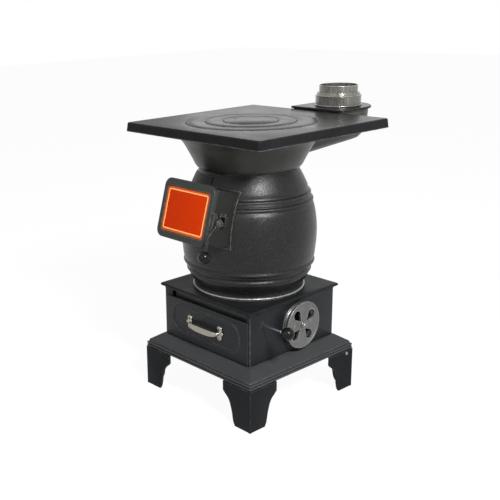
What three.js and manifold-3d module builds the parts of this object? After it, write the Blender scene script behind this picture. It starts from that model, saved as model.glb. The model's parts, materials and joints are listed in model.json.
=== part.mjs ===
// Potbelly stove: a square cooking plate on a round smoke bowl, a cast iron belly with a slanted firing
// chute, and an ash box on a moulded plinth with four bracket feet.
// Millimetres, +Z up. The firing door and the ash drawer face -Y, the air register faces +X and the flue
// stands at the back, +Y. The stove is drawn round the belly's axis, with the floor at z = 0.

import * as THREE from 'three';
import { mergeVertices } from 'three/addons/utils/BufferGeometryUtils.js';
import Module from 'manifold-3d';

const wasm = await Module();
wasm.setup();

// ---- Driving dimensions -------------------------------------------------------------------------

const seatGap = 0.3;

const roundSides = { large: 40, medium: 28, small: 12 };
const cornerSides = 2;

const foot = { corner: 201, top: 111.7, widthTop: 97, widthSole: 54, wall: 7, padThick: 7 };
const footBolt = { y: 173, z: 104, shank: 3, head: 5 };

const plinth = { outer: 196.5, bead: 200.5, top: 153, bottom: 112, inner: 160.5, wall: 7, flange: 148 };

const ashBox = { half: 160, bottom: 116.3, floor: 154, top: 292.1, wall: 4 };
const drawerMouth = { left: -130, right: 148, bottom: 158, top: 285 };

const pan = { left: -126, right: 144, front: -160, back: 146, bottom: 158.6, top: 240, wall: 3 };
const panShield = { setBack: 9, top: 281 };
const drawerFace = { left: -151, right: 157, bottom: 156, top: 269, thick: 4.7 };
const facePanel = { left: -128, right: 130, bottom: 174, top: 256, corner: 36, bead: 8, height: 1.6 };
const handle = { centreX: 2, halfSpan: 56, z: 215.5, reach: 16, droop: 3, halfThick: 2.4 };

const basePlate = { half: 170.5, top: 299.4, thick: 7, bottom: 286.5, hole: 134 };
const grate = { radius: 130, bottom: 293, top: 303, bar: 12, slot: 10, field: 104 };
const grateLug = { inner: 118, outer: 142, width: 24, bottom: 285 };

const shaker = { y: -116, z: 255.5, rod: 3, arm: 116, hookTop: 301.5, slot: 9, end: 221 };
const shakerKnob = { x: 244, radius: 16.5 };

const register = { y: 14.4, z: 225.3, face: 160, reach: 18, collar: 50, bore: 45, disc: 62.5, discThick: 5 };
const petal = { inner: 15, outer: 50, width: 24, count: 4 };
const petalStart = THREE.MathUtils.degToRad(37);

const belly = { bottom: 299.7, top: 620.7, wall: 8, flange: 148, neck: 128 };

const lean = THREE.MathUtils.degToRad(16);
const doorCentre = new THREE.Vector3(0, -224.5, 537);
const door = { left: -93, right: 88.5, bottom: -74, top: 77.5, thick: 12, corner: 21, recess: 4 };
const doorRim = { left: 14, right: 12.5, bottom: 17, top: 20 };
const chute = { halfWidth: 86, bottom: -66, top: 70, wall: 8, front: 12.8, depth: 118, frame: 4.5 };
const hinge = { x: -91.2, depth: 17.6, pin: 2.5, hole: 2.7, knuckle: 4.6, reach: 58 };
const plaque = { margin: 0.6, thick: 2.6, corner: 9, line: 3, inset: 6, lineHeight: 0.8 };

const latch = { x: 97, thick: 6, pivotDepth: 22, pivotZ: -8, hub: 10.5, bolt: 3, hole: 3.3 };
const latchKnob = { x: 100, depth: -5, z: -94, radius: 15.5 };
const keeper = { front: 37, back: 46, underside: -4.6, top: 9, outer: 104 };

const bowl = { bottom: 621.2, mouth: 102, wall: 5, top: 727.7, rim: 201 };
const duct = { flueY: 360, radius: 83.5, top: 736.7, heel: 636, toe: 654, wall: 5 };
const ductCover = { radius: 91, bottom: 737.1, top: 743.5, front: 265.4, bore: 52, upstand: 57 };
const flue = { lower: 63, upper: 53.2, sheet: 2, shoulder: 773.5, neck: 781.5, top: 801 };

const plate = { half: 240, centreY: 25, top: 737, rim: 24, draft: 2, thick: 9, wall: 7, edge: 3.5, corner: 9 };
const ringStep = { seat: 732.5, ledge: 7.5, rise: 0.8 };
const rings = { outer: 169, middle: 118, lid: 72, centreY: 7 };
const lidSlot = { x: -57, halfLength: 8, halfWidth: 3.5, depth: 4 };

// ---- Finishes -----------------------------------------------------------------------------------

const finish = (color, roughness, metalness) => new THREE.MeshStandardMaterial({ color, roughness, metalness });
const blackIron = finish(0x24272a, 0.62, 0.35);
const greyIron = finish(0x3a3d3e, 0.5, 0.5);
const bellyIron = finish(0x2d2e2e, 0.7, 0.35);
const darkSteel = finish(0x3b3b37, 0.42, 0.6);
const rawSteel = finish(0x7a7b78, 0.35, 0.85);
const tinnedSteel = finish(0x8f8d85, 0.32, 0.9);
const nickel = finish(0xcfcac0, 0.2, 1.0);
const blackBall = finish(0x1d1d1e, 0.3, 0.05);
const redEnamel = finish(0xc82a10, 0.4, 0.0);

// ---- Solid helpers ------------------------------------------------------------------------------

/** A closed geometry as a manifold solid, with its shared corners merged. */
function toSolid(geometry) {
  const plain = geometry.clone();
  plain.deleteAttribute('normal');
  plain.deleteAttribute('uv');
  const merged = mergeVertices(plain);
  const corners = merged.index.array;
  const triangles = [];
  for (let i = 0; i < corners.length; i += 3) {
    const [a, b, c] = corners.slice(i, i + 3);
    if (a !== b && b !== c && c !== a) triangles.push(a, b, c);
  }
  const vertProperties = merged.attributes.position.array;
  return new wasm.Manifold(new wasm.Mesh({ numProp: 3, vertProperties, triVerts: new Uint32Array(triangles) }));
}

/** A manifold solid as a three.js geometry. */
function toGeometry(solid) {
  const mesh = solid.getMesh();
  const geometry = new THREE.BufferGeometry();
  geometry.setAttribute('position', new THREE.BufferAttribute(mesh.vertProperties, 3));
  geometry.setIndex(new THREE.BufferAttribute(mesh.triVerts, 1));
  return geometry;
}

const fuse = (...pieces) => toGeometry(pieces.map(toSolid).reduce((whole, piece) => whole.add(piece)));
const carve = (body, ...tools) => toGeometry(
  tools.map(toSolid).reduce((rest, tool) => rest.subtract(tool), toSolid(body)));
const common = (first, second) => toGeometry(toSolid(first).intersect(toSolid(second)));

/** A block between two limits on each axis. */
function block([x0, x1], [y0, y1], [z0, z1]) {
  const body = new THREE.BoxGeometry(x1 - x0, y1 - y0, z1 - z0);
  return body.translate((x0 + x1) / 2, (y0 + y1) / 2, (z0 + z1) / 2);
}

/** A round bar along X between x0 and x1, centred on y and z. */
function barX(radius, [x0, x1], y, z, sides = roundSides.small) {
  const bar = new THREE.CylinderGeometry(radius, radius, x1 - x0, sides).rotateZ(Math.PI / 2);
  return bar.translate((x0 + x1) / 2, y, z);
}

/** A round bar along Z between z0 and z1, centred on x and y. */
function barZ(radius, [z0, z1], x = 0, y = 0, sides = roundSides.medium) {
  const bar = new THREE.CylinderGeometry(radius, radius, z1 - z0, sides).rotateX(Math.PI / 2);
  return bar.translate(x, y, (z0 + z1) / 2);
}

/** A profile of [radius, height] pairs turned round the Z axis; it runs up the outside. */
function turned(profile, sides = roundSides.large) {
  const points = profile.map(([radius, height]) => new THREE.Vector2(radius, height));
  return new THREE.LatheGeometry(points, sides).rotateX(Math.PI / 2);
}

/** A closed [radius, height] profile turned round the Z axis. */
const turnedRing = (profile, sides) => turned([...profile, profile[0]], sides);

/** A flat outline in X and Y raised from z0 to z1, with its outer edges eased by a bevel. */
function raised(shape, [z0, z1], bevel = 0, curveSegments = cornerSides, bevelSegments = 1) {
  const options = {
    depth: z1 - z0 - 2 * bevel,
    curveSegments,
    bevelEnabled: bevel > 0,
    bevelThickness: bevel,
    bevelSize: bevel,
    bevelOffset: -bevel,
    bevelSegments,
  };
  return new THREE.ExtrudeGeometry(shape, options).translate(0, 0, z0 + bevel);
}

/** An outline drawn in X and Z, given its thickness from y0 to y1. */
function wallXZ(shape, [y0, y1], bevel = 0, curveSegments = cornerSides) {
  return raised(shape, [0, y1 - y0], bevel, curveSegments).rotateX(Math.PI / 2).translate(0, y1, 0);
}

/** An outline drawn in Y and Z, given its thickness from x0 to x1. */
function wallYZ(shape, [x0, x1], bevel = 0, curveSegments = cornerSides) {
  const wall = raised(shape, [0, x1 - x0], bevel, curveSegments).rotateX(Math.PI / 2);
  return wall.rotateZ(Math.PI / 2).translate(x0, 0, 0);
}

/** A rectangle with round corners. */
function roundedRectangle([x0, x1], [y0, y1], radius) {
  const shape = new THREE.Shape();
  shape.absarc(x1 - radius, y1 - radius, radius, 0, Math.PI / 2);
  shape.absarc(x0 + radius, y1 - radius, radius, Math.PI / 2, Math.PI);
  shape.absarc(x0 + radius, y0 + radius, radius, Math.PI, 1.5 * Math.PI);
  shape.absarc(x1 - radius, y0 + radius, radius, 1.5 * Math.PI, 2 * Math.PI);
  return shape;
}

/** A tongue in plan: straight sides from y = start to the flue's centre, and a round end about it. */
function tongue(radius, start, centre) {
  const shape = new THREE.Shape();
  shape.moveTo(-radius, start);
  shape.lineTo(radius, start);
  shape.absarc(0, centre, radius, 0, Math.PI);
  return shape;
}

/** A solid skinned over rings of equal count, each a list of Vector3 that turns anticlockwise from above. */
function loft(sections) {
  const count = sections[0].length;
  const last = sections.length - 1;
  const positions = sections.flat().flatMap((point) => point.toArray());
  const faces = [];
  for (let level = 0; level < last; level += 1) {
    for (let i = 0; i < count; i += 1) {
      const next = (i + 1) % count;
      const low = level * count;
      const high = low + count;
      faces.push(low + i, low + next, high + next, low + i, high + next, high + i);
    }
  }
  for (let i = 1; i < count - 1; i += 1) {
    faces.push(0, i + 1, i);
    faces.push(last * count, last * count + i, last * count + i + 1);
  }
  const geometry = new THREE.BufferGeometry();
  geometry.setAttribute('position', new THREE.Float32BufferAttribute(positions, 3));
  geometry.setIndex(faces);
  return geometry;
}

/** A moulding run round a square: [half width, height] pairs from the bottom up, corners rounded. */
function squareMoulding(profile, corner) {
  const section = ([half, height]) => {
    const outline = roundedRectangle([-half, half], [-half, half], corner).getPoints(cornerSides);
    return outline.filter((point, i) => i === 0 || point.distanceTo(outline[i - 1]) > 1e-3)
      .map((point) => new THREE.Vector3(point.x, point.y, height));
  };
  return loft(profile.map(section));
}

/** A ball about the origin, with its poles on the Z axis. */
const ball = (radius) => new THREE.SphereGeometry(radius, 16, 10).rotateX(Math.PI / 2);

/** A hexagon head or nut whose axis runs along X. */
const hexX = (radius, limits, y, z) => barX(radius, limits, y, z, 6);

// ---- Feet and plinth ----------------------------------------------------------------------------

/** One face of a bracket foot: wide under the plinth, drawn in by two hollow curves to a narrow sole. */
function footFace() {
  const shape = new THREE.Shape();
  const waist = foot.widthSole + 14;
  shape.moveTo(0, 0);
  shape.lineTo(foot.widthSole, 0);
  shape.lineTo(foot.widthSole + 5, 9);
  shape.quadraticCurveTo(foot.widthSole + 8, 34, waist, 47);
  shape.quadraticCurveTo(waist + 7, 70, foot.widthTop - 6, 81);
  shape.lineTo(foot.widthTop, 87);
  shape.lineTo(foot.widthTop, foot.top);
  shape.lineTo(0, foot.top);
  return shape;
}

/** The front left foot; the others are the same casting turned round the stove's axis. */
function bracketFoot(quarterTurns, boltSide) {
  const outside = -foot.corner;
  const inside = outside + foot.wall;
  const front = wallXZ(footFace(), [outside, inside]).translate(outside, 0, 0);
  const side = wallYZ(footFace(), [outside, inside]).translate(0, outside, 0);
  const padEnd = outside + foot.widthTop - 8;
  const pad = block([outside + 1, padEnd], [outside + 1, padEnd], [foot.top - foot.padThick, foot.top]);
  const lugHole = block([inside - 0.1, inside + 9.5], [-188.5, -157.5], [90, foot.top + 1]);
  const lugHoleTwin = block([-188.5, -157.5], [inside - 0.1, inside + 9.5], [90, foot.top + 1]);
  const casting = carve(fuse(front, side, pad), lugHole, lugHoleTwin).rotateZ(quarterTurns * Math.PI / 2);
  if (boltSide === 0) return casting;
  const wallX = boltSide * foot.corner;
  const boltHole = barX(footBolt.shank + 0.4, [wallX - 10, wallX + 10], footBolt.y, footBolt.z);
  return carve(casting, boltHole);
}

/** A dome headed bolt that holds a rear foot to the plinth's lug. */
function footBoltBody(side) {
  const { shank, head, y, z } = footBolt;
  const seat = foot.corner + seatGap;
  const bolt = turned([
    [0, foot.corner - 16],
    [shank, foot.corner - 16],
    [shank, seat],
    [head, seat],
    [head, seat + 1.4],
    [head * 0.8, seat + 2.8],
    [head * 0.4, seat + 3.6],
    [0, seat + 3.8],
  ], roundSides.small);
  return bolt.rotateY(side * Math.PI / 2).translate(0, y, z);
}

/** The plinth: a broad chamfer over two beads, hollow behind, with a flange that carries the ash box. */
function plinthBody() {
  const { outer, bead, top, bottom, inner, wall, flange } = plinth;
  const moulding = squareMoulding([
    [outer + 1, bottom],
    [outer + 1, bottom + 2],
    [bead - 0.8, bottom + 3.2],
    [bead, bottom + 5.4],
    [bead - 1.4, bottom + 7.6],
    [outer + 0.8, bottom + 8.2],
    [bead - 0.8, bottom + 9.2],
    [bead + 0.4, bottom + 12],
    [bead - 0.8, bottom + 14.8],
    [outer, bottom + 16],
    [outer - 0.4, bottom + 18.5],
    [outer - 4.5, bottom + 22.5],
    [inner + 8, top - 2.5],
    [inner + 3, top],
  ], 3);
  const hollow = squareMoulding([
    [outer - wall, bottom + 4],
    [outer - wall, bottom + 12],
    [inner, top - 12],
    [inner, top + 1],
  ], 2);
  const well = block([-flange, flange], [-flange, flange], [bottom - 1, bottom + 5]);
  const shell = carve(moulding, hollow, well);
  const lugs = [];
  for (const sideX of [-1, 1]) {
    for (const sideY of [-1, 1]) {
      const near = foot.corner - foot.wall - 0.6;
      const limitsX = [sideX * (near - 7), sideX * near].sort((a, b) => a - b);
      const limitsY = [sideY * 158, sideY * 188].sort((a, b) => a - b);
      lugs.push(block(limitsX, limitsY, [96, bottom + 2]));
    }
  }
  const boltHole = barX(footBolt.shank + 0.4, [-foot.corner, foot.corner], footBolt.y, footBolt.z);
  return carve(fuse(shell, ...lugs), boltHole);
}

// ---- Ash box and drawer -------------------------------------------------------------------------

/** The ash box: four walls and a floor, with the drawer's mouth, the register's port and the rod's hole. */
function ashBoxBody() {
  const { half, bottom, floor, top, wall } = ashBox;
  const shell = squareMoulding([[half, bottom], [half, top]], 2);
  const room = block([wall - half, half - wall], [wall - half, half - wall], [floor + wall, top + 1]);
  const underside = block([wall - half, half - wall], [wall - half, half - wall], [bottom - 1, floor]);
  const mouth = block(
    [drawerMouth.left, drawerMouth.right], [-half - 1, wall - half + 1], [drawerMouth.bottom, drawerMouth.top]);
  const port = barX(register.bore - 2, [half - wall - 1, half + 1], register.y, register.z, roundSides.medium);
  const rodHole = barX(shaker.rod + 2, [half - wall - 1, half + 1], shaker.y, shaker.z);
  return carve(shell, room, underside, mouth, port, rodHole);
}

/** The ash pan: a tray open at the top, with a taller shield behind the drawer's face that closes the mouth. */
function ashPanBody() {
  const { left, right, front, back, bottom, top, wall } = pan;
  const tray = block([left, right], [front, back], [bottom, top]);
  const shieldBack = front + panShield.setBack + wall;
  const shield = block([left, right], [shieldBack - wall, shieldBack], [bottom, panShield.top]);
  const room = block([left + wall, right - wall], [shieldBack, back - wall], [bottom + wall, top + 1]);
  const pocket = block([left + wall, right - wall], [front - 1, shieldBack - wall], [bottom + wall, top + 1]);
  return carve(fuse(tray, shield), room, pocket);
}

/** The drawer's face: a flat casting with a raised bead that runs round a long rounded panel. */
function drawerFaceBody() {
  const back = -ashBox.half - seatGap;
  const front = back - drawerFace.thick;
  const outline = roundedRectangle([drawerFace.left, drawerFace.right], [drawerFace.bottom, drawerFace.top], 3);
  const slab = wallXZ(outline, [front, back], 1.2);
  const { left, right, bottom, top, corner, bead, height } = facePanel;
  const frame = roundedRectangle([left, right], [bottom, top], corner);
  const inside = roundedRectangle([left + bead, right - bead], [bottom + bead, top - bead], corner - bead);
  frame.holes.push(inside);
  const rib = wallXZ(frame, [front - height, front + 1], 0.8, 5);
  return fuse(slab, rib);
}

/** One leaf shaped base of the bow handle, with three lobes round its post. */
function handleBase(x, side) {
  const face = -ashBox.half - seatGap - drawerFace.thick - seatGap;
  const lobe = (radius, dx, dz) => {
    const disc = new THREE.Shape();
    disc.absarc(x + dx, handle.z + dz, radius, 0, 2 * Math.PI);
    return wallXZ(disc, [face - 3.5, face], 0.9, 5);
  };
  const web = wallXZ(roundedRectangle([x - 5, x + 5], [handle.z - 13, handle.z + 13], 3), [face - 3, face]);
  return fuse(web, lobe(8, 0, 11), lobe(7.5, 0, -11), lobe(5, side * 8, 0));
}

/** The bow handle: a strap that swells in the middle and bows out between two leaf shaped bases. */
function handleBody() {
  const face = -ashBox.half - seatGap - drawerFace.thick - seatGap;
  const left = handle.centreX - handle.halfSpan;
  const right = handle.centreX + handle.halfSpan;
  const bow = new THREE.CatmullRomCurve3([
    new THREE.Vector3(left, face - 1, handle.z),
    new THREE.Vector3(left + 5, face - handle.reach * 0.6, handle.z - handle.droop * 0.3),
    new THREE.Vector3(left + 26, face - handle.reach * 0.96, handle.z - handle.droop * 0.8),
    new THREE.Vector3(handle.centreX, face - handle.reach, handle.z - handle.droop),
    new THREE.Vector3(right - 26, face - handle.reach * 0.96, handle.z - handle.droop * 0.8),
    new THREE.Vector3(right - 5, face - handle.reach * 0.6, handle.z - handle.droop * 0.3),
    new THREE.Vector3(right, face - 1, handle.z),
  ]);
  const steps = 14;
  const sections = [];
  for (let step = 0; step <= steps; step += 1) {
    const along = step / steps;
    const centre = bow.getPointAt(along);
    const tangent = bow.getTangentAt(along);
    const swell = Math.sin(Math.PI * along);
    const halfHeight = 3.8 + 3.8 * swell;
    const across = new THREE.Vector3(-tangent.y, tangent.x, 0).normalize();
    const up = new THREE.Vector3().crossVectors(tangent, across);
    const ring = [];
    for (let corner = 0; corner < 8; corner += 1) {
      const angle = corner / 8 * 2 * Math.PI;
      ring.push(centre.clone()
        .addScaledVector(across, handle.halfThick * Math.cos(angle))
        .addScaledVector(up, halfHeight * Math.sin(angle)));
    }
    sections.push(ring);
  }
  return fuse(loft(sections), handleBase(left, -1), handleBase(right, 1));
}

// ---- Base plate, grate and shaker ---------------------------------------------------------------

/** The base plate: a bulbous lip over a cove, a round fire hole and four lugs that carry the grate. */
function basePlateBody() {
  const { half, top, thick, bottom, hole } = basePlate;
  const slab = squareMoulding([
    [half - 8.6, bottom],
    [half - 8.2, bottom + 3],
    [half - 6, bottom + 5.2],
    [half - 1.6, bottom + 6],
    [half, bottom + 8],
    [half, top - 2.6],
    [half - 2.2, top],
  ], 4);
  const pocketHalf = ashBox.half + 0.35;
  const pocket = block([-pocketHalf, pocketHalf], [-pocketHalf, pocketHalf], [bottom - 1, top - thick]);
  const lugs = [45, 135, 225, 315].map((degrees) => block(
    [grateLug.inner, grateLug.outer], [-grateLug.width / 2, grateLug.width / 2], [grateLug.bottom, top - 4],
  ).rotateZ(THREE.MathUtils.degToRad(degrees)));
  const fireHole = barZ(hole, [bottom - 5, top + 1], 0, 0, roundSides.large);
  const seat = barZ(hole, [grate.bottom - seatGap, top + 1], 0, 0, roundSides.large);
  return carve(fuse(carve(slab, pocket, fireHole), ...lugs), seat);
}

/** The grate: a round casting with long slots between its bars, and the slot that the rod's hook drives. */
function grateBody() {
  const disc = barZ(grate.radius, [grate.bottom, grate.top], 0, 0, roundSides.large);
  const pitch = grate.bar + grate.slot;
  const count = Math.floor(grate.field / pitch);
  const slots = [];
  for (let i = -count; i <= count; i += 1) {
    const x = i * pitch;
    const reach = Math.sqrt(grate.field ** 2 - x ** 2);
    const limits = [x - grate.slot / 2, x + grate.slot / 2];
    const outline = roundedRectangle(limits, [-reach, reach], grate.slot / 2 - 0.1);
    slots.push(raised(outline, [grate.bottom - 1, grate.top + 1], 0, 2));
  }
  const drive = block(
    [-shaker.slot / 2, shaker.slot / 2],
    [-grate.radius - 5, -shaker.arm + 5.5],
    [grate.bottom - 1, grate.top + 1]);
  return carve(disc, ...slots, drive);
}

/** The shaker's rod: it runs in from the side under the base plate and turns up into the grate's slot. */
function shakerRodBody() {
  const bend = 12;
  const steps = 4;
  const hoop = (x, z, turn) => {
    const ring = [];
    for (let i = 0; i < 10; i += 1) {
      const angle = i / 10 * 2 * Math.PI;
      const across = shaker.rod * Math.cos(angle);
      ring.push(new THREE.Vector3(
        x + across * Math.cos(turn), shaker.y + shaker.rod * Math.sin(angle), z + across * Math.sin(turn)));
    }
    return ring;
  };
  const sections = [hoop(shaker.end + 9, shaker.z, Math.PI / 2)];
  for (let i = 0; i <= steps; i += 1) {
    const turn = Math.PI / 2 * (1 - i / steps);
    sections.push(hoop(bend - bend * Math.cos(turn), shaker.z + bend - bend * Math.sin(turn), turn));
  }
  sections.push(hoop(0, shaker.hookTop, 0));
  return loft(sections);
}

/** A tapered ferrule between a rod and its ball, drawn along +Z from z = 0. */
function ferruleBody(length, small, large, bore) {
  return turnedRing([
    [bore, 0],
    [small, 0],
    [small + 0.8, length * 0.35],
    [large, length * 0.55],
    [large, length],
    [bore, length],
  ], roundSides.small);
}

/** A ball knob bored for its rod along the local Z axis, flat where the ferrule meets it. */
function knobBody(radius, bore) {
  const whole = ball(radius);
  const flat = block([-radius, radius], [-radius, radius], [-radius - 1, -radius + 1.2]);
  const socket = barZ(bore, [-radius - 1, -radius + 11], 0, 0, roundSides.small);
  return carve(whole, flat, socket);
}

// ---- Air register -------------------------------------------------------------------------------

/** One teardrop opening of the register, pointing at the centre, drawn in Y and Z. */
function petalCutter(angle, [x0, x1]) {
  const round = petal.width / 2;
  const shape = new THREE.Shape();
  shape.moveTo(petal.inner, 0);
  shape.lineTo(petal.outer - round - 4, -round * 0.97);
  shape.absarc(petal.outer - round, 0, round, -0.6 * Math.PI, 0.6 * Math.PI);
  shape.lineTo(petal.inner, 0);
  const cutter = wallYZ(shape, [x0, x1], 0, 4);
  return cutter.rotateX(angle).translate(0, register.y, register.z);
}

/** All the register's openings, evenly spaced. */
function petals(limits) {
  const cutters = [];
  for (let i = 0; i < petal.count; i += 1) {
    cutters.push(petalCutter(petalStart + i * 2 * Math.PI / petal.count, limits));
  }
  return cutters;
}

/** The register's fixed part: a short collar on the box's side, closed by a plate with four openings. */
function registerCollar() {
  const start = register.face + seatGap;
  const end = register.face + register.reach;
  const collar = barX(register.collar, [start, end], register.y, register.z, roundSides.medium);
  const flange = barX(register.collar + 5, [start, start + 3], register.y, register.z, roundSides.medium);
  const room = barX(register.bore, [start - 1, end - 4], register.y, register.z, roundSides.medium);
  const boltHole = barX(4.5, [end - 6, end + 1], register.y, register.z);
  return carve(fuse(collar, flange), room, boltHole, ...petals([end - 6, end + 1]));
}

/** The register's turning disc. */
function registerDisc() {
  const start = register.face + register.reach + 0.4;
  const round = new THREE.Shape();
  round.absarc(0, 0, register.disc, 0, 2 * Math.PI);
  const disc = wallYZ(round, [start, start + register.discThick], 1.2, 16).translate(0, register.y, register.z);
  const boltHole = barX(4.5, [start - 1, start + register.discThick + 1], register.y, register.z);
  return carve(disc, boltHole, ...petals([start - 1, start + register.discThick + 1]));
}

/** The register's bolt, with its washer face against the disc. */
function registerBolt() {
  const discFace = register.face + register.reach + 0.4 + register.discThick;
  const shank = barX(4, [register.face + 2, discFace + 1], register.y, register.z);
  const washer = barX(10, [discFace + 0.4, discFace + 2], register.y, register.z);
  const head = hexX(8, [discFace + 1.8, discFace + 8], register.y, register.z);
  return fuse(shank, washer, head);
}

/** The nut inside the collar, against the fixed plate. */
function registerNut() {
  const plateBack = register.face + register.reach - 4;
  const nut = hexX(8.5, [plateBack - 6.8, plateBack - seatGap], register.y, register.z);
  return carve(nut, barX(4.3, [plateBack - 8, plateBack + 1], register.y, register.z));
}

// ---- Belly, chute and door ----------------------------------------------------------------------

/** The belly's outer line from its foot flange to its neck, with two beads low down and two high up. */
const bellyOutside = [
  [belly.flange, belly.bottom],
  [belly.flange, 304.5],
  [145, 307],
  [146, 317],
  [154.5, 331],
  [161.6, 346],
  [165.2, 350.4],
  [165.2, 354.4],
  [164, 357],
  [168.8, 368.6],
  [173.2, 371.6],
  [173.6, 376],
  [172, 379],
  [175.6, 408],
  [178.2, 450],
  [176.4, 484],
  [171.6, 514],
  [165.6, 535],
  [167.4, 539.4],
  [163, 544.2],
  [159.6, 554],
  [161, 557],
  [155.8, 561.4],
  [151.4, 575],
  [144.6, 590],
  [137.6, 604],
  [belly.neck, belly.top],
];

/** The belly's plain inner line, from the neck down. */
const bellyInside = [
  [belly.neck - belly.wall, belly.top],
  [135.5, 590],
  [154, 542],
  [168, 494],
  [170, 450],
  [167, 400],
  [155, 350],
  [138, 314],
  [138, belly.bottom],
];

/** Moves a geometry drawn on the leaning door's axes to its place on the stove. */
const onDoorSlope = (geometry) => geometry.rotateX(-lean).translate(doorCentre.x, doorCentre.y, doorCentre.z);

/** A knuckle round the hinge's pin, with a web that joins it to what carries it. */
function knuckle([z0, z1], webX, webY) {
  const roll = barZ(hinge.knuckle, [z0, z1], hinge.x, hinge.depth, roundSides.small);
  return fuse(roll, block(webX, webY, [z0, z1]));
}

/** The belly: a barrel with its slanted firing chute, the frame where they meet and two hinge knuckles. */
function bellyBody() {
  const barrel = turned([[0, belly.bottom], ...bellyOutside, [0, belly.top]]);
  const hollow = turnedRing([
    [0, belly.bottom - 1],
    [138, belly.bottom - 1],
    ...bellyInside.slice(0, -1).reverse(),
    [belly.neck - belly.wall, belly.top + 1],
    [0, belly.top + 1],
  ]);
  const { halfWidth, bottom, top, wall, front, depth, frame } = chute;
  const duct = onDoorSlope(block([-halfWidth, halfWidth], [front, depth], [bottom, top]));
  const passage = onDoorSlope(block(
    [wall - halfWidth, halfWidth - wall], [front - 1, depth + 40], [bottom + wall, top - wall]));
  const frameBox = onDoorSlope(block(
    [-halfWidth - frame, halfWidth + frame], [front + 20, depth + 40], [bottom - frame, top + frame]));
  const frameShell = turned([
    [0, 430],
    [181, 430],
    [181.4, 455],
    [179.6, 484],
    [174.8, 514],
    [168.4, 536],
    [163.6, 556],
    [154.6, 575],
    [147.8, 590],
    [141, 603],
    [0, 603],
  ]);
  const web = [hinge.x, -halfWidth + 1];
  const depthWeb = [hinge.depth, hinge.depth + hinge.knuckle];
  const knuckles = [[31, 43], [-43, -31]].map((limits) => onDoorSlope(knuckle(limits, web, depthWeb)));
  const pinHole = onDoorSlope(barZ(hinge.hole, [-60, 60], hinge.x, hinge.depth, roundSides.small));
  const casting = fuse(barrel, common(frameBox, frameShell), duct, ...knuckles);
  return carve(casting, hollow, passage, pinHole);
}

/** The door's recess for its plaque, and the plaque in it: the limits across and up, drawn in by a margin. */
function recessLimits(margin) {
  const { left, right, bottom, top } = doorRim;
  return [
    [door.left + left + margin, door.right - right - margin],
    [door.bottom + bottom + margin, door.top - top - margin],
  ];
}

/** The door's ear for the latch: it runs back from the door's edge, past the chute, to the pivot. */
function latchEar() {
  const { x, pivotDepth, pivotZ, hub } = latch;
  const shape = new THREE.Shape();
  shape.moveTo(4, pivotZ + 22);
  shape.lineTo(4, pivotZ - 20);
  shape.lineTo(door.thick, pivotZ - 20);
  shape.lineTo(pivotDepth, pivotZ - hub + 1);
  shape.absarc(pivotDepth, pivotZ, hub - 1, -Math.PI / 2, Math.PI / 2);
  shape.lineTo(door.thick, pivotZ + 22);
  return wallYZ(shape, [door.right - 1, x - 0.4], 0, 4);
}

/** The firing door: a cast plate with a recess for its plaque, two knuckles and the latch's ear. */
function doorBody() {
  const { left, right, bottom, top, thick, corner, recess } = door;
  const plateBody = wallXZ(roundedRectangle([left, right], [bottom, top], corner), [0, thick], 2.5, 4, 2);
  const pocket = wallXZ(roundedRectangle(...recessLimits(0), plaque.corner + plaque.margin), [-1, recess]);
  const webX = [hinge.x - 1, hinge.x + hinge.knuckle];
  const webY = [thick - 1, hinge.depth];
  const ears = [[43.5, 55.5], [-55.5, -43.5]].map((limits) => knuckle(limits, webX, webY));
  const pinHole = barZ(hinge.hole, [-60, 60], hinge.x, hinge.depth, roundSides.small);
  const boltHole = barX(latch.hole, [right - 10, latch.x + 1], latch.pivotDepth, latch.pivotZ);
  return carve(fuse(plateBody, latchEar(), ...ears), pocket, pinHole, boltHole);
}

/** The plaque: a thin enamelled plate with a raised line round its edge. */
function plaqueBody() {
  const { margin, thick, corner, line, inset, lineHeight } = plaque;
  const back = door.recess - seatGap;
  const front = back - thick;
  const sheet = wallXZ(roundedRectangle(...recessLimits(margin), corner), [front, back]);
  const frame = roundedRectangle(...recessLimits(margin + inset), corner - inset + 1);
  frame.holes.push(roundedRectangle(...recessLimits(margin + inset + line), 2.5));
  return fuse(sheet, wallXZ(frame, [front - lineHeight, front + 1]));
}

/** The latch lever, drawn in depth and height: hub, nose to the keeper, and the arm down to its ball. */
function latchLever() {
  const { x, thick, pivotDepth, pivotZ, hub } = latch;
  const shape = new THREE.Shape();
  shape.moveTo(pivotDepth + hub * 0.85, pivotZ + 2.2);
  shape.lineTo(keeper.back + 1, pivotZ + 2.2);
  shape.lineTo(keeper.back + 1, pivotZ - 5);
  shape.lineTo(pivotDepth + hub * 0.8, pivotZ - 6);
  shape.quadraticCurveTo(pivotDepth - 10, pivotZ - 24, -2.4, -46);
  shape.lineTo(-2.2, -79);
  shape.lineTo(-7.8, -79);
  shape.lineTo(-8.6, -46);
  shape.quadraticCurveTo(pivotDepth - 20, pivotZ - 20, pivotDepth - hub * 0.98, pivotZ - 2);
  shape.absarc(pivotDepth, pivotZ, hub, Math.PI, 0.2 * Math.PI, true);
  const bar = wallYZ(shape, [x, x + thick], 0.8, 6);
  return carve(bar, barX(latch.hole, [x - 1, x + thick + 1], pivotDepth, pivotZ));
}

/** The bolt that the latch lever turns on. */
function latchBolt() {
  const face = latch.x + latch.thick;
  const shank = barX(latch.bolt, [door.right - 0.6, face + 1], latch.pivotDepth, latch.pivotZ);
  const head = hexX(6.4, [face + 0.4, face + 5], latch.pivotDepth, latch.pivotZ);
  return fuse(shank, head);
}

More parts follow.
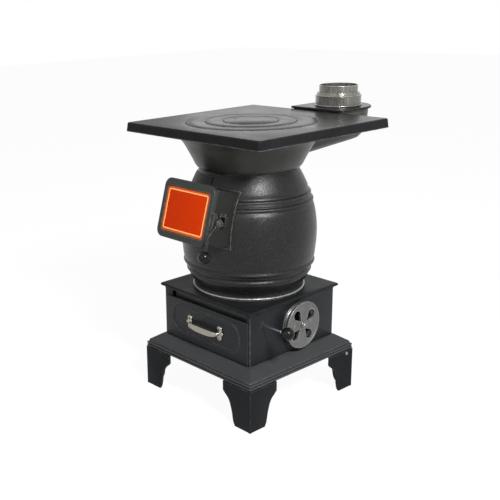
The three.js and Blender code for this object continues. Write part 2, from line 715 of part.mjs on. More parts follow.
/** The keeper: a plate on the chute's side with a lug that stands over the latch's nose. */
function keeperBody() {
  const wallFace = chute.halfWidth + seatGap;
  const { front, back, underside, top, outer } = keeper;
  const foot = block([wallFace, wallFace + 3], [front - 5, back + 8], [underside, top + 6]);
  const lugShape = new THREE.Shape();
  lugShape.moveTo(front, underside + 3.5);
  lugShape.quadraticCurveTo(front + 3, underside, back - 3, underside);
  lugShape.lineTo(back, underside);
  lugShape.lineTo(back, top);
  lugShape.lineTo(front, top);
  return fuse(foot, wallYZ(lugShape, [wallFace + 2, outer], 0, 6));
}

// ---- Smoke bowl, duct and flue ------------------------------------------------------------------

/** A duct volume: rings from its sloping floor up to a level top, narrowing towards the floor. */
function ductVolume(radius, inset, start) {
  const levels = [
    [0, 0.6],
    [0.05, 0.72],
    [0.15, 0.81],
    [0.4, 0.91],
    [0.75, 0.985],
    [1, 1],
  ];
  const floorAt = (y) => THREE.MathUtils.mapLinear(y, 150, duct.flueY + 40, duct.heel, duct.toe) + inset;
  const sections = levels.map(([share, width]) => {
    const outline = tongue(radius * width, start, duct.flueY).getPoints(12);
    const top = duct.top + (inset > 0 ? 1 : 0);
    return outline.slice(0, -1).map((point) => {
      const height = THREE.MathUtils.lerp(floorAt(point.y), top, share);
      return new THREE.Vector3(point.x, point.y, height);
    });
  });
  return loft(sections);
}

/** The smoke bowl and its duct: a round pan under the plate whose side runs out into a trough. */
function bowlBody() {
  const { bottom, mouth, wall, top, rim } = bowl;
  const outside = turned([
    [0, bottom],
    [129, bottom],
    [134.5, bottom + 3.5],
    [140, bottom + 11],
    [145.5, bottom + 22],
    [156, bottom + 42],
    [169, bottom + 65],
    [rim - 6, top - 8],
    [rim, top],
    [0, top],
  ]);
  const inside = turned([
    [0, bottom + wall],
    [126, bottom + wall],
    [134, bottom + wall + 6],
    [150, bottom + 42],
    [163, bottom + 65],
    [rim - 12, top - 8],
    [rim - 6, top + 1],
    [0, top + 1],
  ]);
  const trough = carve(
    ductVolume(duct.radius, 0, 60),
    block([-100, 100], [0, plate.centreY + plate.half + seatGap], [top, duct.top + 5]));
  const mouthHole = barZ(mouth, [bottom - 1, bottom + wall + 1], 0, 0, roundSides.large);
  const passage = ductVolume(duct.radius - duct.wall, duct.wall, 61);
  return carve(fuse(outside, trough), inside, mouthHole, passage);
}

/** The duct's cover: a tongue shaped plate behind the cooking plate, with an upstand inside the flue. */
function ductCoverBody() {
  const { radius, bottom, top, front, bore, upstand } = ductCover;
  const lid = raised(tongue(radius, front, duct.flueY), [bottom, top], 2, 14, 2);
  const collar = barZ(upstand, [top - 2, top + 10], 0, duct.flueY);
  return carve(fuse(lid, collar), barZ(bore, [bottom - 1, top + 12], 0, duct.flueY));
}

/** The lower flue collar: a band with a turned foot and a rolled shoulder. */
function flueCollarBody() {
  const { lower, upper, sheet, shoulder, neck } = flue;
  const foot = ductCover.top + seatGap;
  return turnedRing([
    [lower - sheet, foot],
    [lower + 1.6, foot],
    [lower + 1.6, foot + 2.4],
    [lower, foot + 3.6],
    [lower, shoulder - 1.5],
    [lower - 1, shoulder + 0.8],
    [upper + 4, neck - 4],
    [upper + 2.6, neck],
    [upper + 0.4, neck],
    [upper + 0.4, neck - 4],
    [lower - sheet, shoulder - 3],
  ], 36).translate(0, duct.flueY, 0);
}

/** The upper flue collar, which stands in the lower one and takes the chimney pipe. */
function flueSpigotBody() {
  const { upper, sheet, shoulder, neck, top } = flue;
  return turnedRing([
    [upper - sheet, shoulder - 6],
    [upper, shoulder - 6],
    [upper, top - 2.6],
    [upper + 0.8, top - 1.4],
    [upper - 0.4, top],
    [upper - sheet, top - 0.4],
  ], 36).translate(0, duct.flueY, 0);
}

// ---- Cooking plate and rings --------------------------------------------------------------------

/** The cooking plate: square, with a deep rim that draws in upwards, a stepped hole and a gap for the duct. */
function plateBody() {
  const { half, centreY, top, rim, draft, thick, wall, edge, corner } = plate;
  const under = top - rim;
  const slab = squareMoulding([
    [half, under],
    [half - draft, top - edge],
    [half - draft - edge * 0.3, top - edge * 0.3],
    [half - draft - edge, top],
  ], corner);
  const pocketHalf = half - wall;
  const pocket = block([-pocketHalf, pocketHalf], [-pocketHalf, pocketHalf], [under - 1, top - thick]);
  const ductGap = block(
    [-duct.radius - 3, duct.radius + 3], [half - wall - 1, half + 1], [under - 1, top - thick]);
  const hollowed = carve(slab, pocket, ductGap).translate(0, centreY, 0);
  const { seat, ledge } = ringStep;
  const through = barZ(rings.outer - ledge, [top - thick - 1, top + 1], 0, rings.centreY, roundSides.large);
  const ringSeat = barZ(rings.outer, [seat, top + 1], 0, rings.centreY, roundSides.large);
  return carve(hollowed, through, ringSeat);
}

/** A cooking ring: its outer step sits in the ring outside it and its inner step carries the next one. */
function cookingRing(outer, inner, steps) {
  const { seat, ledge, rise } = ringStep;
  const top = plate.top + steps * rise;
  const underside = plate.top - plate.thick;
  const gap = 0.7;
  return turnedRing([
    [inner - ledge, underside],
    [outer - ledge - gap, underside],
    [outer - ledge - gap, seat + seatGap],
    [outer - gap, seat + seatGap],
    [outer - gap, top],
    [inner, top],
    [inner, seat],
    [inner - ledge, seat],
  ]);
}

/** The centre lid, with the slot for its lifting hook. */
function lidBody() {
  const { seat, ledge, rise } = ringStep;
  const top = plate.top + 3 * rise;
  const underside = plate.top - plate.thick;
  const outer = rings.lid - 0.7;
  const disc = turned([
    [0, underside],
    [outer - ledge, underside],
    [outer - ledge, seat + seatGap],
    [outer, seat + seatGap],
    [outer, top],
    [0, top],
  ]);
  const { x, halfLength, halfWidth, depth } = lidSlot;
  const slot = raised(
    roundedRectangle([x - halfLength, x + halfLength], [-halfWidth, halfWidth], halfWidth - 0.1),
    [top - depth, top + 1]);
  return carve(disc, slot);
}

// ---- Assembly -----------------------------------------------------------------------------------

const stove = new THREE.Group();
const doorSlope = new THREE.Group();
doorSlope.position.copy(doorCentre);
doorSlope.rotation.x = -lean;
stove.add(doorSlope);

/** Adds a named piece to a group and gives it back, so that it can be placed. */
function addPiece(group, name, geometry, material) {
  const mesh = new THREE.Mesh(geometry, material);
  mesh.name = name;
  group.add(mesh);
  return mesh;
}

addPiece(stove, 'foot_front_left', bracketFoot(0, 0), blackIron);
addPiece(stove, 'foot_front_right', bracketFoot(1, 0), blackIron);
addPiece(stove, 'foot_rear_right', bracketFoot(2, 1), blackIron);
addPiece(stove, 'foot_rear_left', bracketFoot(3, -1), blackIron);
addPiece(stove, 'foot_bolt_right', footBoltBody(1), rawSteel);
addPiece(stove, 'foot_bolt_left', footBoltBody(-1), rawSteel);
addPiece(stove, 'plinth', plinthBody(), blackIron);

addPiece(stove, 'ash_box', ashBoxBody(), blackIron);
addPiece(stove, 'ash_pan', ashPanBody(), darkSteel);
addPiece(stove, 'drawer_front', drawerFaceBody(), blackIron);
addPiece(stove, 'drawer_handle', handleBody(), nickel);

addPiece(stove, 'base_plate', basePlateBody(), blackIron);
addPiece(stove, 'grate', grateBody(), bellyIron);
addPiece(stove, 'shaker_rod', shakerRodBody(), rawSteel);
const shakerFerrule = addPiece(stove, 'shaker_ferrule', ferruleBody(7.2, 4, 6, shaker.rod + 0.3), nickel);
shakerFerrule.position.set(shaker.end, shaker.y, shaker.z);
shakerFerrule.rotation.y = Math.PI / 2;
const shakerBall = addPiece(stove, 'shaker_knob', knobBody(shakerKnob.radius, shaker.rod + 0.3), blackBall);
shakerBall.position.set(shakerKnob.x, shaker.y, shaker.z);
shakerBall.rotation.y = Math.PI / 2;

addPiece(stove, 'register_collar', registerCollar(), rawSteel);
addPiece(stove, 'register_disc', registerDisc(), rawSteel);
addPiece(stove, 'register_bolt', registerBolt(), rawSteel);
addPiece(stove, 'register_nut', registerNut(), rawSteel);

addPiece(stove, 'belly', bellyBody(), bellyIron);
const hingePin = barZ(hinge.pin, [-hinge.reach, hinge.reach], hinge.x, hinge.depth, 16);
addPiece(doorSlope, 'door_hinge_pin', hingePin, rawSteel);
addPiece(doorSlope, 'fire_door', doorBody(), darkSteel);
addPiece(doorSlope, 'door_plaque', plaqueBody(), redEnamel);
addPiece(doorSlope, 'latch_lever', latchLever(), darkSteel);
addPiece(doorSlope, 'latch_bolt', latchBolt(), rawSteel);
addPiece(doorSlope, 'latch_keeper', keeperBody(), rawSteel);
const latchBall = addPiece(doorSlope, 'latch_knob', knobBody(latchKnob.radius, 3.2), blackBall);
latchBall.position.set(latchKnob.x, latchKnob.depth, latchKnob.z);
latchBall.rotation.x = Math.PI;

addPiece(stove, 'smoke_bowl', bowlBody(), darkSteel);
addPiece(stove, 'duct_cover', ductCoverBody(), greyIron);
addPiece(stove, 'flue_collar', flueCollarBody(), tinnedSteel);
addPiece(stove, 'flue_spigot', flueSpigotBody(), tinnedSteel);

addPiece(stove, 'cooking_plate', plateBody(), greyIron);
addPiece(stove, 'outer_ring', cookingRing(rings.outer, rings.middle, 1), greyIron).position.y = rings.centreY;
addPiece(stove, 'inner_ring', cookingRing(rings.middle, rings.lid, 2), greyIron).position.y = rings.centreY;
addPiece(stove, 'centre_lid', lidBody(), greyIron).position.y = rings.centreY;

// The stove stands on the bottom centre of its own box, which is the origin of its frame.
stove.updateMatrixWorld(true);
const box = new THREE.Box3().setFromObject(stove, true);
stove.position.set(-(box.min.x + box.max.x) / 2, -(box.min.y + box.max.y) / 2, -box.min.z);

export default stove;
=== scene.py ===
"""Looks of a cast iron potbelly stove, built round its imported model.

Every piece is drawn in millimetres round the belly's own axis, with the floor at zero, and is
then put in the model's frame in metres. The firing door and the ash drawer face -Y.
"""

import json
import logging
import math
from dataclasses import dataclass, replace
from enum import Enum
from typing import Iterable, Optional, Sequence, Union

import bmesh
import bpy
from mathutils import Matrix, Vector
from mathutils.geometry import interpolate_bezier

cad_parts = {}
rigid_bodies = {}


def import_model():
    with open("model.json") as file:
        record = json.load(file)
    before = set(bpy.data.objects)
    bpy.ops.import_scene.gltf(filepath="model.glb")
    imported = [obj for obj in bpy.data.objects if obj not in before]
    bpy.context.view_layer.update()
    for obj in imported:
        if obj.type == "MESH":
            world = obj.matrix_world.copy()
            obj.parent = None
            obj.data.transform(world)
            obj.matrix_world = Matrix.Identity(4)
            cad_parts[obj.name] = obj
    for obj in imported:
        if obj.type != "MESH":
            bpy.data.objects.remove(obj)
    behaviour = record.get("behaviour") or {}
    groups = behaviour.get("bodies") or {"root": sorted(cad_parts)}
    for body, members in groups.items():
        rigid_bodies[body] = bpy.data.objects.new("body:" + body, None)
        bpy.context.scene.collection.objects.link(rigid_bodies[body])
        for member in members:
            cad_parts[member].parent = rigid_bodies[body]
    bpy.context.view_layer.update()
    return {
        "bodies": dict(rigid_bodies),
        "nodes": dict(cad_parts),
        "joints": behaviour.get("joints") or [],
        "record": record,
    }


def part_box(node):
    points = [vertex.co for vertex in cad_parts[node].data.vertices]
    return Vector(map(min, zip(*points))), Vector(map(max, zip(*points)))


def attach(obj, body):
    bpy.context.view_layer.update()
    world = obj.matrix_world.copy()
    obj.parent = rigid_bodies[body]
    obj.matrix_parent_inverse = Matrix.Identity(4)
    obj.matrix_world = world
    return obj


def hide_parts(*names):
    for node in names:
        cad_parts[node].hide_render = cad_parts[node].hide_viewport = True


LOG = logging.getLogger("stove")
MM = 0.001
WELD = 1e-4
WHITE = (1.0, 1.0, 1.0, 1.0)
Pair = tuple[float, float]
Triple = tuple[float, float, float]
Line = Sequence[Sequence[float]]
Mesh = bmesh.types.BMesh
Socket = bpy.types.NodeSocket
Tree = bpy.types.NodeTree
Key = Union[str, int]
Value = Union[Socket, float, Sequence[float]]


# ---- Finishes ------------------------------------------------------------------------------------


def feed(tree: Tree, node: bpy.types.Node, inputs: dict[Key, Value]) -> None:
    """Sets a node's inputs to plain values, or links them to the outputs that are given.

    Args:
        tree: The node tree.
        node: The node.
        inputs: A value or an output for each input.
    """
    for key, value in inputs.items():
        if isinstance(value, Socket):
            tree.links.new(value, node.inputs[key])
        else:
            node.inputs[key].default_value = value


def add(
    tree: Tree, kind: str, inputs: dict[Key, Value], output: Key = 0, **options: object
) -> Optional[Socket]:
    """Adds a node to a tree.

    Args:
        tree: The node tree.
        kind: The node's type, without the words that all of them start with.
        inputs: A value or an output for each input.
        output: The output that is wanted.
        options: The node's own settings.

    Returns:
        That output, or nothing where the node has none.
    """
    node = tree.nodes.new("ShaderNode" + kind)
    for key, value in options.items():
        setattr(node, key, value)
    feed(tree, node, inputs)
    return node.outputs[output] if node.outputs else None


class Grain(Enum):
    """How the small surface pattern of a finish runs."""

    EVEN = "even"
    BRUSHED = "brushed"


@dataclass(frozen=True)
class Finish:
    """One surface finish, made of nodes that read Object coordinates.

    Colours are linear, and lengths are in metres. Its name is no slot's name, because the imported
    model has a plain material of each slot's name.
    """

    name: str
    slot: str
    colour: Triple
    worn: Triple
    roughness: float
    metallic: float = 0.0
    specular: float = 0.5
    grain: Grain = Grain.EVEN
    grain_size: float = 0.0012
    grain_height: float = 0.00012
    swell_height: float = 0.00012
    mottle: float = 0.25
    speckle: float = 0.15
    wear: float = 0.5
    coat: float = 0.0

    def material(self) -> bpy.types.Material:
        """Makes the finish's material, once.

        Returns:
            The material of this finish.
        """
        if self.name in bpy.data.materials:
            return bpy.data.materials[self.name]
        material = bpy.data.materials.new(self.name)
        material.use_nodes = True
        tree = material.node_tree
        coords = add(tree, "TexCoord", {}, "Object")
        broad = self._noise(tree, coords, 11.0, 6.0)
        fine = self._noise(tree, self._grain_coords(tree, coords), 1.0 / self.grain_size, 3.0)
        dark, light = (
            tuple(min(1.0, channel * (1.0 + swing)) for channel in self.colour)
            for swing in (-self.mottle, self.mottle)
        )
        base = self._mix(tree, broad, dark, light)
        specks = self._range(tree, fine, (0.52, 0.74), (0.0, self.speckle))
        speckled = self._mix(tree, specks, base, self.worn)
        swell = self._bump(tree, self._noise(tree, coords, 38.0, 2.0), self.swell_height)
        spread = (self.roughness * 0.85, min(1.0, self.roughness * 1.15))
        feed(tree, tree.nodes["Principled BSDF"], {
            "Base Color": self._mix(tree, self._wear_mask(tree, coords), speckled, self.worn),
            "Metallic": self.metallic,
            "Roughness": self._range(tree, broad, (0.3, 0.7), spread),
            "Specular IOR Level": self.specular,
            "Coat Weight": self.coat,
            "Coat Roughness": 0.12,
            "Normal": self._bump(tree, fine, self.grain_height, Normal=swell),
        })
        return material

    def _grain_coords(self, tree: Tree, coords: Socket) -> Socket:
        """Stretches the Object coordinates along a brushed grain.

        Args:
            tree: The material's node tree.
            coords: The Object coordinates.

        Returns:
            The coordinates that the grain reads.
        """
        if self.grain is not Grain.BRUSHED:
            return coords
        return add(tree, "Mapping", {"Scale": (1.0, 1.0, 0.06), "Vector": coords}, "Vector")

    def _wear_mask(self, tree: Tree, coords: Socket) -> Socket:
        """Finds the edges that handling has rubbed.

        Args:
            tree: The material's node tree.
            coords: The Object coordinates.

        Returns:
            A mask that is 1 where the finish has worn through.
        """
        rounded_off = add(tree, "Bevel", {"Radius": 0.0030}, "Normal", samples=6)
        normal = add(tree, "NewGeometry", {}, "Normal")
        bend = add(tree, "VectorMath", {0: rounded_off, 1: normal}, "Value", operation="DOT_PRODUCT")
        mask = self._range(tree, bend, (0.995, 0.90), (0.0, self.wear))
        outward = self._range(tree, add(tree, "NewGeometry", {}, "Pointiness"), (0.5, 0.515), (0.0, 1.0))
        patchy = self._range(tree, self._noise(tree, coords, 75.0, 4.0), (0.36, 0.62), (0.25, 1.0))
        for share in (outward, patchy):
            mask = add(tree, "Math", {0: mask, 1: share}, operation="MULTIPLY")
        return mask

    @staticmethod
    def _noise(tree: Tree, coords: Socket, scale: float, detail: float) -> Socket:
        """Adds a noise, with its scale in cycles a metre and its number of finer layers."""
        inputs = {"Vector": coords, "Scale": scale, "Detail": detail, "Roughness": 0.55}
        return add(tree, "TexNoise", inputs, "Fac")

    @staticmethod
    def _bump(tree: Tree, height: Socket, distance: float, **under: Socket) -> Socket:
        """Adds a bump whose full range is a distance high, over another one where its Normal is given."""
        return add(tree, "Bump", {"Strength": 1.0, "Distance": distance, "Height": height, **under}, "Normal")

    @staticmethod
    def _range(tree: Tree, value: Socket, source: Pair, result: Pair) -> Socket:
        """Maps a value from one range to another."""
        limits = dict(zip(("From Min", "From Max", "To Min", "To Max"), (*source, *result)))
        return add(tree, "MapRange", {"Value": value, **limits}, "Result")

    @staticmethod
    def _mix(tree: Tree, factor: Socket, first: Union[Socket, Triple], second: Triple) -> Socket:
        """Mixes a colour, plain or made by nodes, with a plain one.

        Args:
            tree: The material's node tree.
            factor: Where the second colour shows.
            first: The colour at 0.
            second: The plain colour at 1.

        Returns:
            The mixed colour.
        """
        under = first if isinstance(first, Socket) else (*first, 1.0)
        inputs = {"Factor": factor, "A": under, "B": (*second, 1.0)}
        return add(tree, "Mix", inputs, "Result", data_type="RGBA")


BLACK_IRON = Finish(
    "blacked_iron", "black_iron", (0.0078, 0.0090, 0.0098), (0.17, 0.17, 0.165), 0.42, specular=0.05,
    grain_size=0.0016, grain_height=0.00006, speckle=0.04, wear=0.5,
)
BOX_IRON = replace(
    BLACK_IRON, name="blacked_box_iron", colour=(0.0070, 0.0085, 0.0105), worn=(0.20, 0.20, 0.195),
    roughness=0.44, specular=0.15, grain_size=0.0018, grain_height=0.00008, wear=0.9,
)
DRAWER_IRON = replace(
    BLACK_IRON, name="blacked_drawer_iron", colour=(0.0085, 0.0092, 0.0105), worn=(0.13, 0.13, 0.13),
    specular=0.18, grain_size=0.0018,
)
PLINTH_IRON = replace(
    BLACK_IRON, name="blacked_plinth_iron", colour=(0.031, 0.032, 0.034), worn=(0.30, 0.30, 0.295),
    roughness=0.40, specular=0.08, grain_size=0.0014, speckle=0.10, wear=0.35,
)
GREY_IRON = Finish(
    "cooking_iron", "grey_iron", (0.0080, 0.0083, 0.0088), (0.24, 0.24, 0.24), 0.28, specular=0.035,
    grain_height=0.00004, swell_height=0.00016, mottle=0.5, speckle=0.08, wear=0.7,
)
BELLY_IRON = Finish(
    "sand_cast_iron", "belly_iron", (0.0070, 0.0073, 0.0069), (0.24, 0.24, 0.235), 0.31, specular=0.23,
    grain_size=0.0034, grain_height=0.00075, speckle=0.07, wear=0.6,
)
CHUTE_IRON = Finish(
    "chute_iron", "belly_iron", (0.0085, 0.0087, 0.0078), (0.22, 0.22, 0.21), 0.44, specular=0.18,
    grain_size=0.0028, grain_height=0.00025, speckle=0.05, wear=0.9,
)
# Painted highlight: a light iron for the foot bead, standing in for the bright edge that light puts on the
# flange.
HIGHLIGHT_BEAD_IRON = Finish(
    "painted_highlight_iron", "belly_iron", (0.20, 0.20, 0.195), (0.75, 0.75, 0.73), 0.34, metallic=0.5,
    grain_size=0.0030, grain_height=0.0004, mottle=0.6, speckle=0.8, wear=0.8,
)
BOWL_IRON = Finish(
    "bowl_iron", "dark_iron", (0.029, 0.030, 0.025), (0.20, 0.20, 0.18), 0.36, specular=0.22,
    grain_size=0.0024, grain_height=0.00018, mottle=0.65, speckle=0.09, wear=0.6,
)
DOOR_IRON = Finish(
    "door_iron", "dark_iron", (0.021, 0.0235, 0.021), (0.18, 0.18, 0.17), 0.42, specular=0.2,
    grain_size=0.0022, grain_height=0.00018, speckle=0.07,
)
LATCH_IRON = Finish(
    "latch_iron", "dark_iron", (0.0055, 0.0055, 0.0055), (0.28, 0.28, 0.27), 0.30, specular=0.2,
    grain_size=0.0016, grain_height=0.00008, speckle=0.05, wear=0.4,
)
DARK_STEEL = Finish(
    "pan_steel", "dark_steel", (0.018, 0.018, 0.018), (0.2, 0.2, 0.2), 0.45, specular=0.3,
    grain_size=0.002, grain_height=0.00003, wear=0.4,
)
SCREW_STEEL = Finish(
    "dark_screw_steel", "raw_steel", (0.035, 0.035, 0.032), (0.5, 0.49, 0.47), 0.30, metallic=0.8,
    grain_size=0.002, grain_height=0.00003, wear=0.7,
)
RAW_STEEL = Finish(
    "scratched_steel", "raw_steel", (0.20, 0.20, 0.195), (0.5, 0.5, 0.49), 0.34, metallic=0.9,
    grain=Grain.BRUSHED, grain_size=0.0007, grain_height=0.00003, speckle=0.3, wear=0.7,
)
DISC_STEEL = Finish(
    "disc_steel", "raw_steel", (0.120, 0.122, 0.118), (0.55, 0.55, 0.54), 0.36, metallic=0.8,
    grain=Grain.BRUSHED, grain_height=0.00004, speckle=0.3, wear=0.9,
)
TINNED_STEEL = Finish(
    "galvanised_steel", "tinned_steel", (0.175, 0.170, 0.155), (0.80, 0.79, 0.75), 0.28, metallic=0.9,
    grain=Grain.BRUSHED, grain_size=0.0022, grain_height=0.00006, mottle=0.45, speckle=0.35, wear=0.9,
)
NICKEL = Finish(
    "bright_nickel", "nickel", (0.30, 0.283, 0.245), (0.80, 0.77, 0.70), 0.24, metallic=1.0,
    grain_size=0.004, grain_height=0.00002, swell_height=0.0002, mottle=0.15, wear=0.3,
)
RED_ENAMEL = Finish(
    "fired_red_enamel", "red_enamel", (0.44, 0.027, 0.002), (0.62, 0.10, 0.02), 0.5, specular=0.02,
    grain_size=0.004, grain_height=0.00002, swell_height=0.0001, mottle=0.10, wear=0.1,
)
# Painted shade: the enamel of the plaque's margin, standing in for the rim's shadow on the plaque's edge.
RIM_SHADE_ENAMEL = replace(
    RED_ENAMEL, name="painted_rim_shade_enamel", colour=(0.50, 0.070, 0.014), worn=(0.6, 0.2, 0.05), specular=0.04,
    mottle=0.2,
)
GOLD_ENAMEL = replace(
    RED_ENAMEL, name="gold_enamel_line", colour=(0.86, 0.38, 0.12), worn=(0.95, 0.6, 0.25), specular=0.04)
BLACK_BALL = replace(
    RED_ENAMEL, name="moulded_black_ball", slot="black_ball", colour=(0.004, 0.004, 0.0045),
    worn=(0.05, 0.05, 0.05), roughness=0.24, specular=0.14, grain_size=0.003, coat=0.03,
)


# ---- Shaping -------------------------------------------------------------------------------------


class Cut(Enum):
    """How one solid works on another."""

    JOIN = "UNION"
    AWAY = "DIFFERENCE"
    KEEP = "INTERSECT"


class Rounding(Enum):
    """What a rounding works on."""

    EDGES = "EDGES"
    CORNERS = "VERTICES"


class Facing(Enum):
    """The plane that a flat outline is drawn in, as rows from (first, second, thickness) to (x, y, z)."""

    XY = ((1, 0, 0), (0, 1, 0), (0, 0, 1))
    XZ = ((1, 0, 0), (0, 0, 1), (0, 1, 0))
    YZ = ((0, 0, 1), (1, 0, 0), (0, 1, 0))

    def matrix(self) -> Matrix:
        """Turns outline axes and thickness to the stove's axes."""
        return Matrix(self.value).to_4x4()


def spun(degrees: float, axis: str) -> Matrix:
    """Gives the turn by some degrees about an axis."""
    return Matrix.Rotation(math.radians(degrees), 4, axis)


ALONG_X = spun(90, "Y")
UPSIDE_DOWN = spun(180, "X")


def rounded(bm: Mesh, geom: Iterable, radius: float, segments: int, kind: Rounding = Rounding.EDGES) -> None:
    """Rounds a solid's edges or an outline's corners.

    Args:
        bm: The solid or outline.
        geom: The edges, or the corners' vertices.
        radius: The rounding's size.
        segments: The number of strips or sides in it.
        kind: What it works on.
    """
    bmesh.ops.bevel(
        bm, geom=list(geom), offset=radius, offset_type="OFFSET", segments=segments, profile=0.5,
        affect=kind.value, clamp_overlap=True, material=-1,
    )


def tidy(bm: Mesh) -> Mesh:
    """Merges a closed mesh's doubled vertices, turns its faces outwards and gives it back.

    Args:
        bm: The closed mesh.

    Returns:
        The same mesh.
    """
    bmesh.ops.remove_doubles(bm, verts=bm.verts, dist=WELD)
    bmesh.ops.recalc_face_normals(bm, faces=bm.faces)
    return bm


def moved(bm: Mesh, matrix: Matrix) -> Mesh:
    """Places a solid and gives it back."""
    bmesh.ops.transform(bm, matrix=matrix, verts=bm.verts)
    return tidy(bm)


def stored(bm: Mesh, name: str = "helper") -> bpy.types.Mesh:
    """Puts a solid in mesh data of its own, and frees it.

    Args:
        bm: The solid.
        name: The data's name.

    Returns:
        The mesh data.
    """
    data = bpy.data.meshes.new(name)
    bm.to_mesh(data)
    bm.free()
    return data


def placed(data: bpy.types.ID, name: str = "helper") -> bpy.types.Object:
    """Makes an object of its data and links it to the scene.

    Args:
        data: What the object holds.
        name: Its name.

    Returns:
        The object.
    """
    held = bpy.data.objects.new(name, data)
    bpy.context.scene.collection.objects.link(held)
    return held


def block(x: Pair, y: Pair, z: Pair, ease: float = 0.0, segments: int = 2) -> Mesh:
    """Makes a block between two limits on each axis.

    Args:
        x: The limits across.
        y: The limits from front to back.
        z: The limits in height.
        ease: The rounding of its edges.
        segments: The strips in that rounding.

    Returns:
        The block.
    """
    bm = bmesh.new()
    bmesh.ops.create_cube(bm, size=1.0)
    bmesh.ops.scale(bm, vec=[high - low for low, high in (x, y, z)], verts=bm.verts)
    bmesh.ops.translate(bm, vec=[(low + high) / 2 for low, high in (x, y, z)], verts=bm.verts)
    if ease > 0:
        rounded(bm, bm.edges, ease, segments)
    return tidy(bm)


def flowing(points: Line, steps: int = 4) -> list[Pair]:
    """Draws a smooth line through points.

    Args:
        points: The points that the line passes.
        steps: The steps between two of them.

    Returns:
        The line's points, both ends included.
    """
    knots = [Vector((point[0], point[1], 0.0)) for point in (points[0], *points, points[-1])]
    line: list[Pair] = []
    for before, start, end, after in zip(knots, knots[1:], knots[2:], knots[3:]):
        pull = (end - start).length
        leave = start + (end - before).normalized() * pull / 3
        arrive = end - (after - start).normalized() * pull / 3
        curve = interpolate_bezier(start, leave, arrive, end, steps + 1)
        line += [(place.x, place.y) for place in curve[:-1]]
    return [*line, (points[-1][0], points[-1][1])]


def headings(path: Sequence[Pair]) -> list[Vector]:
    """Gives a path's direction at each of its points, from the point before to the point after."""
    nexts = zip((path[0], *path[:-1]), (*path[1:], path[-1]))
    return [Vector((after[0] - before[0], after[1] - before[1])) for before, after in nexts]


def turned(profile: Line, steps: int = 128, ring: bool = False, place: Optional[Matrix] = None) -> Mesh:
    """Turns a line of (radius, height) points round the Z axis.

    A third number in a point is that corner's own rounding.

    Args:
        profile: The line, from one end on the axis to the other, or a closed ring.
        steps: The number of steps in the full turn.
        ring: Whether the line closes on itself.
        place: Where the solid is put.

    Returns:
        The turned solid.
    """
    bm = bmesh.new()
    points = [bm.verts.new((point[0], 0.0, point[1])) for point in profile]
    for first, second in zip(points, points[1:] + (points[:1] if ring else [])):
        bm.edges.new((first, second))
    sizes = {point: corner[2] for point, corner in zip(points, profile) if len(corner) > 2}
    for radius in sorted(set(sizes.values())):
        corners = [point for point, size in sizes.items() if size == radius]
        rounded(bm, corners, radius, 3, Rounding.CORNERS)
    bmesh.ops.spin(
        bm, geom=bm.verts[:] + bm.edges[:], cent=(0, 0, 0), axis=(0, 0, 1), dvec=(0, 0, 0),
        angle=2 * math.pi, steps=steps, use_merge=True, use_duplicate=False,
    )
    return moved(tidy(bm), place) if place else tidy(bm)


def outlined(outline: Sequence[Pair], corner: float = 0.0, corner_sides: int = 5) -> Mesh:
    """Makes one flat face of an outline, with its corners rounded.

    Args:
        outline: The outline's points.
        corner: The rounding of its corners.
        corner_sides: The sides in that rounding.

    Returns:
        A mesh with that one face.
    """
    bm = bmesh.new()
    bm.faces.new([bm.verts.new((a, b, 0.0)) for a, b in outline])
    if corner > 0:
        rounded(bm, bm.verts[:], corner, corner_sides, Rounding.CORNERS)
    bmesh.ops.remove_doubles(bm, verts=bm.verts, dist=WELD)
    return bm


def thickened(bm: Mesh, depth: Pair, facing: Facing, edge: float = 0.0, edge_sides: int = 3) -> Mesh:
    """Gives flat faces their thickness.

    Args:
        bm: The flat faces.
        depth: The limits of the thickness.
        facing: The plane they lie in.
        edge: The rounding of the front and back rims.
        edge_sides: The strips in that rounding.

    Returns:
        The solid.
    """
    bmesh.ops.translate(bm, vec=(0, 0, depth[0]), verts=bm.verts)
    far, _ = grown_end(bm, bm.faces[:], True)
    bmesh.ops.translate(bm, vec=(0, 0, depth[1] - depth[0]), verts=far)
    tidy(bm)
    if edge > 0:
        rims = [line for line in bm.edges if line.calc_face_angle(0) > 1.2
                and abs(line.verts[0].co.z - line.verts[1].co.z) < 1e-6]
        rounded(bm, rims, edge, edge_sides)
    return moved(bm, facing.matrix())


def slab(
    outline: Sequence[Pair], depth: Pair, facing: Facing = Facing.XY, corner: float = 0.0,
    corner_sides: int = 5, edge: float = 0.0, edge_sides: int = 3,
) -> Mesh:
    """Gives a flat outline its thickness, with its corners and rims rounded as outlined and thickened say."""
    return thickened(outlined(outline, corner, corner_sides), depth, facing, edge, edge_sides)


def band(
    outline: Sequence[Pair], width: float, depth: Pair, corner: float, edge: float, corner_sides: int = 10
) -> Mesh:
    """Makes a flat band that follows an outline in the XZ plane on its inside.

    Args:
        outline: The outline's points.
        width: The band's width.
        depth: The limits of its thickness.
        corner: The rounding of the outline's corners.
        edge: The rounding of its rims.
        corner_sides: The sides in the corners.

    Returns:
        The solid.
    """
    bm = outlined(outline, corner, corner_sides)
    bmesh.ops.inset_region(bm, faces=bm.faces[:], thickness=width, use_even_offset=True, use_boundary=True)
    middle = max(bm.faces, key=lambda face: len(face.verts))
    bmesh.ops.delete(bm, geom=[middle], context="FACES_ONLY")
    return thickened(bm, depth, Facing.XZ, edge)


def grown_end(bm: Mesh, end: Sequence[bmesh.types.BMFace], first: bool) -> tuple[list, list]:
    """Extrudes a solid's flat end, and drops the faces that this would leave inside it.

    Args:
        bm: The solid.
        end: The faces of its flat end.
        first: Whether they are the solid's other end too, and so stay.

    Returns:
        The vertices and the faces of the new end.
    """
    grown = bmesh.ops.extrude_face_region(bm, geom=end, use_keep_orig=True)["geom"]
    if not first:
        bmesh.ops.delete(bm, geom=end, context="FACES_ONLY")
    verts = [item for item in grown if isinstance(item, bmesh.types.BMVert)]
    return verts, [item for item in grown if isinstance(item, bmesh.types.BMFace)]


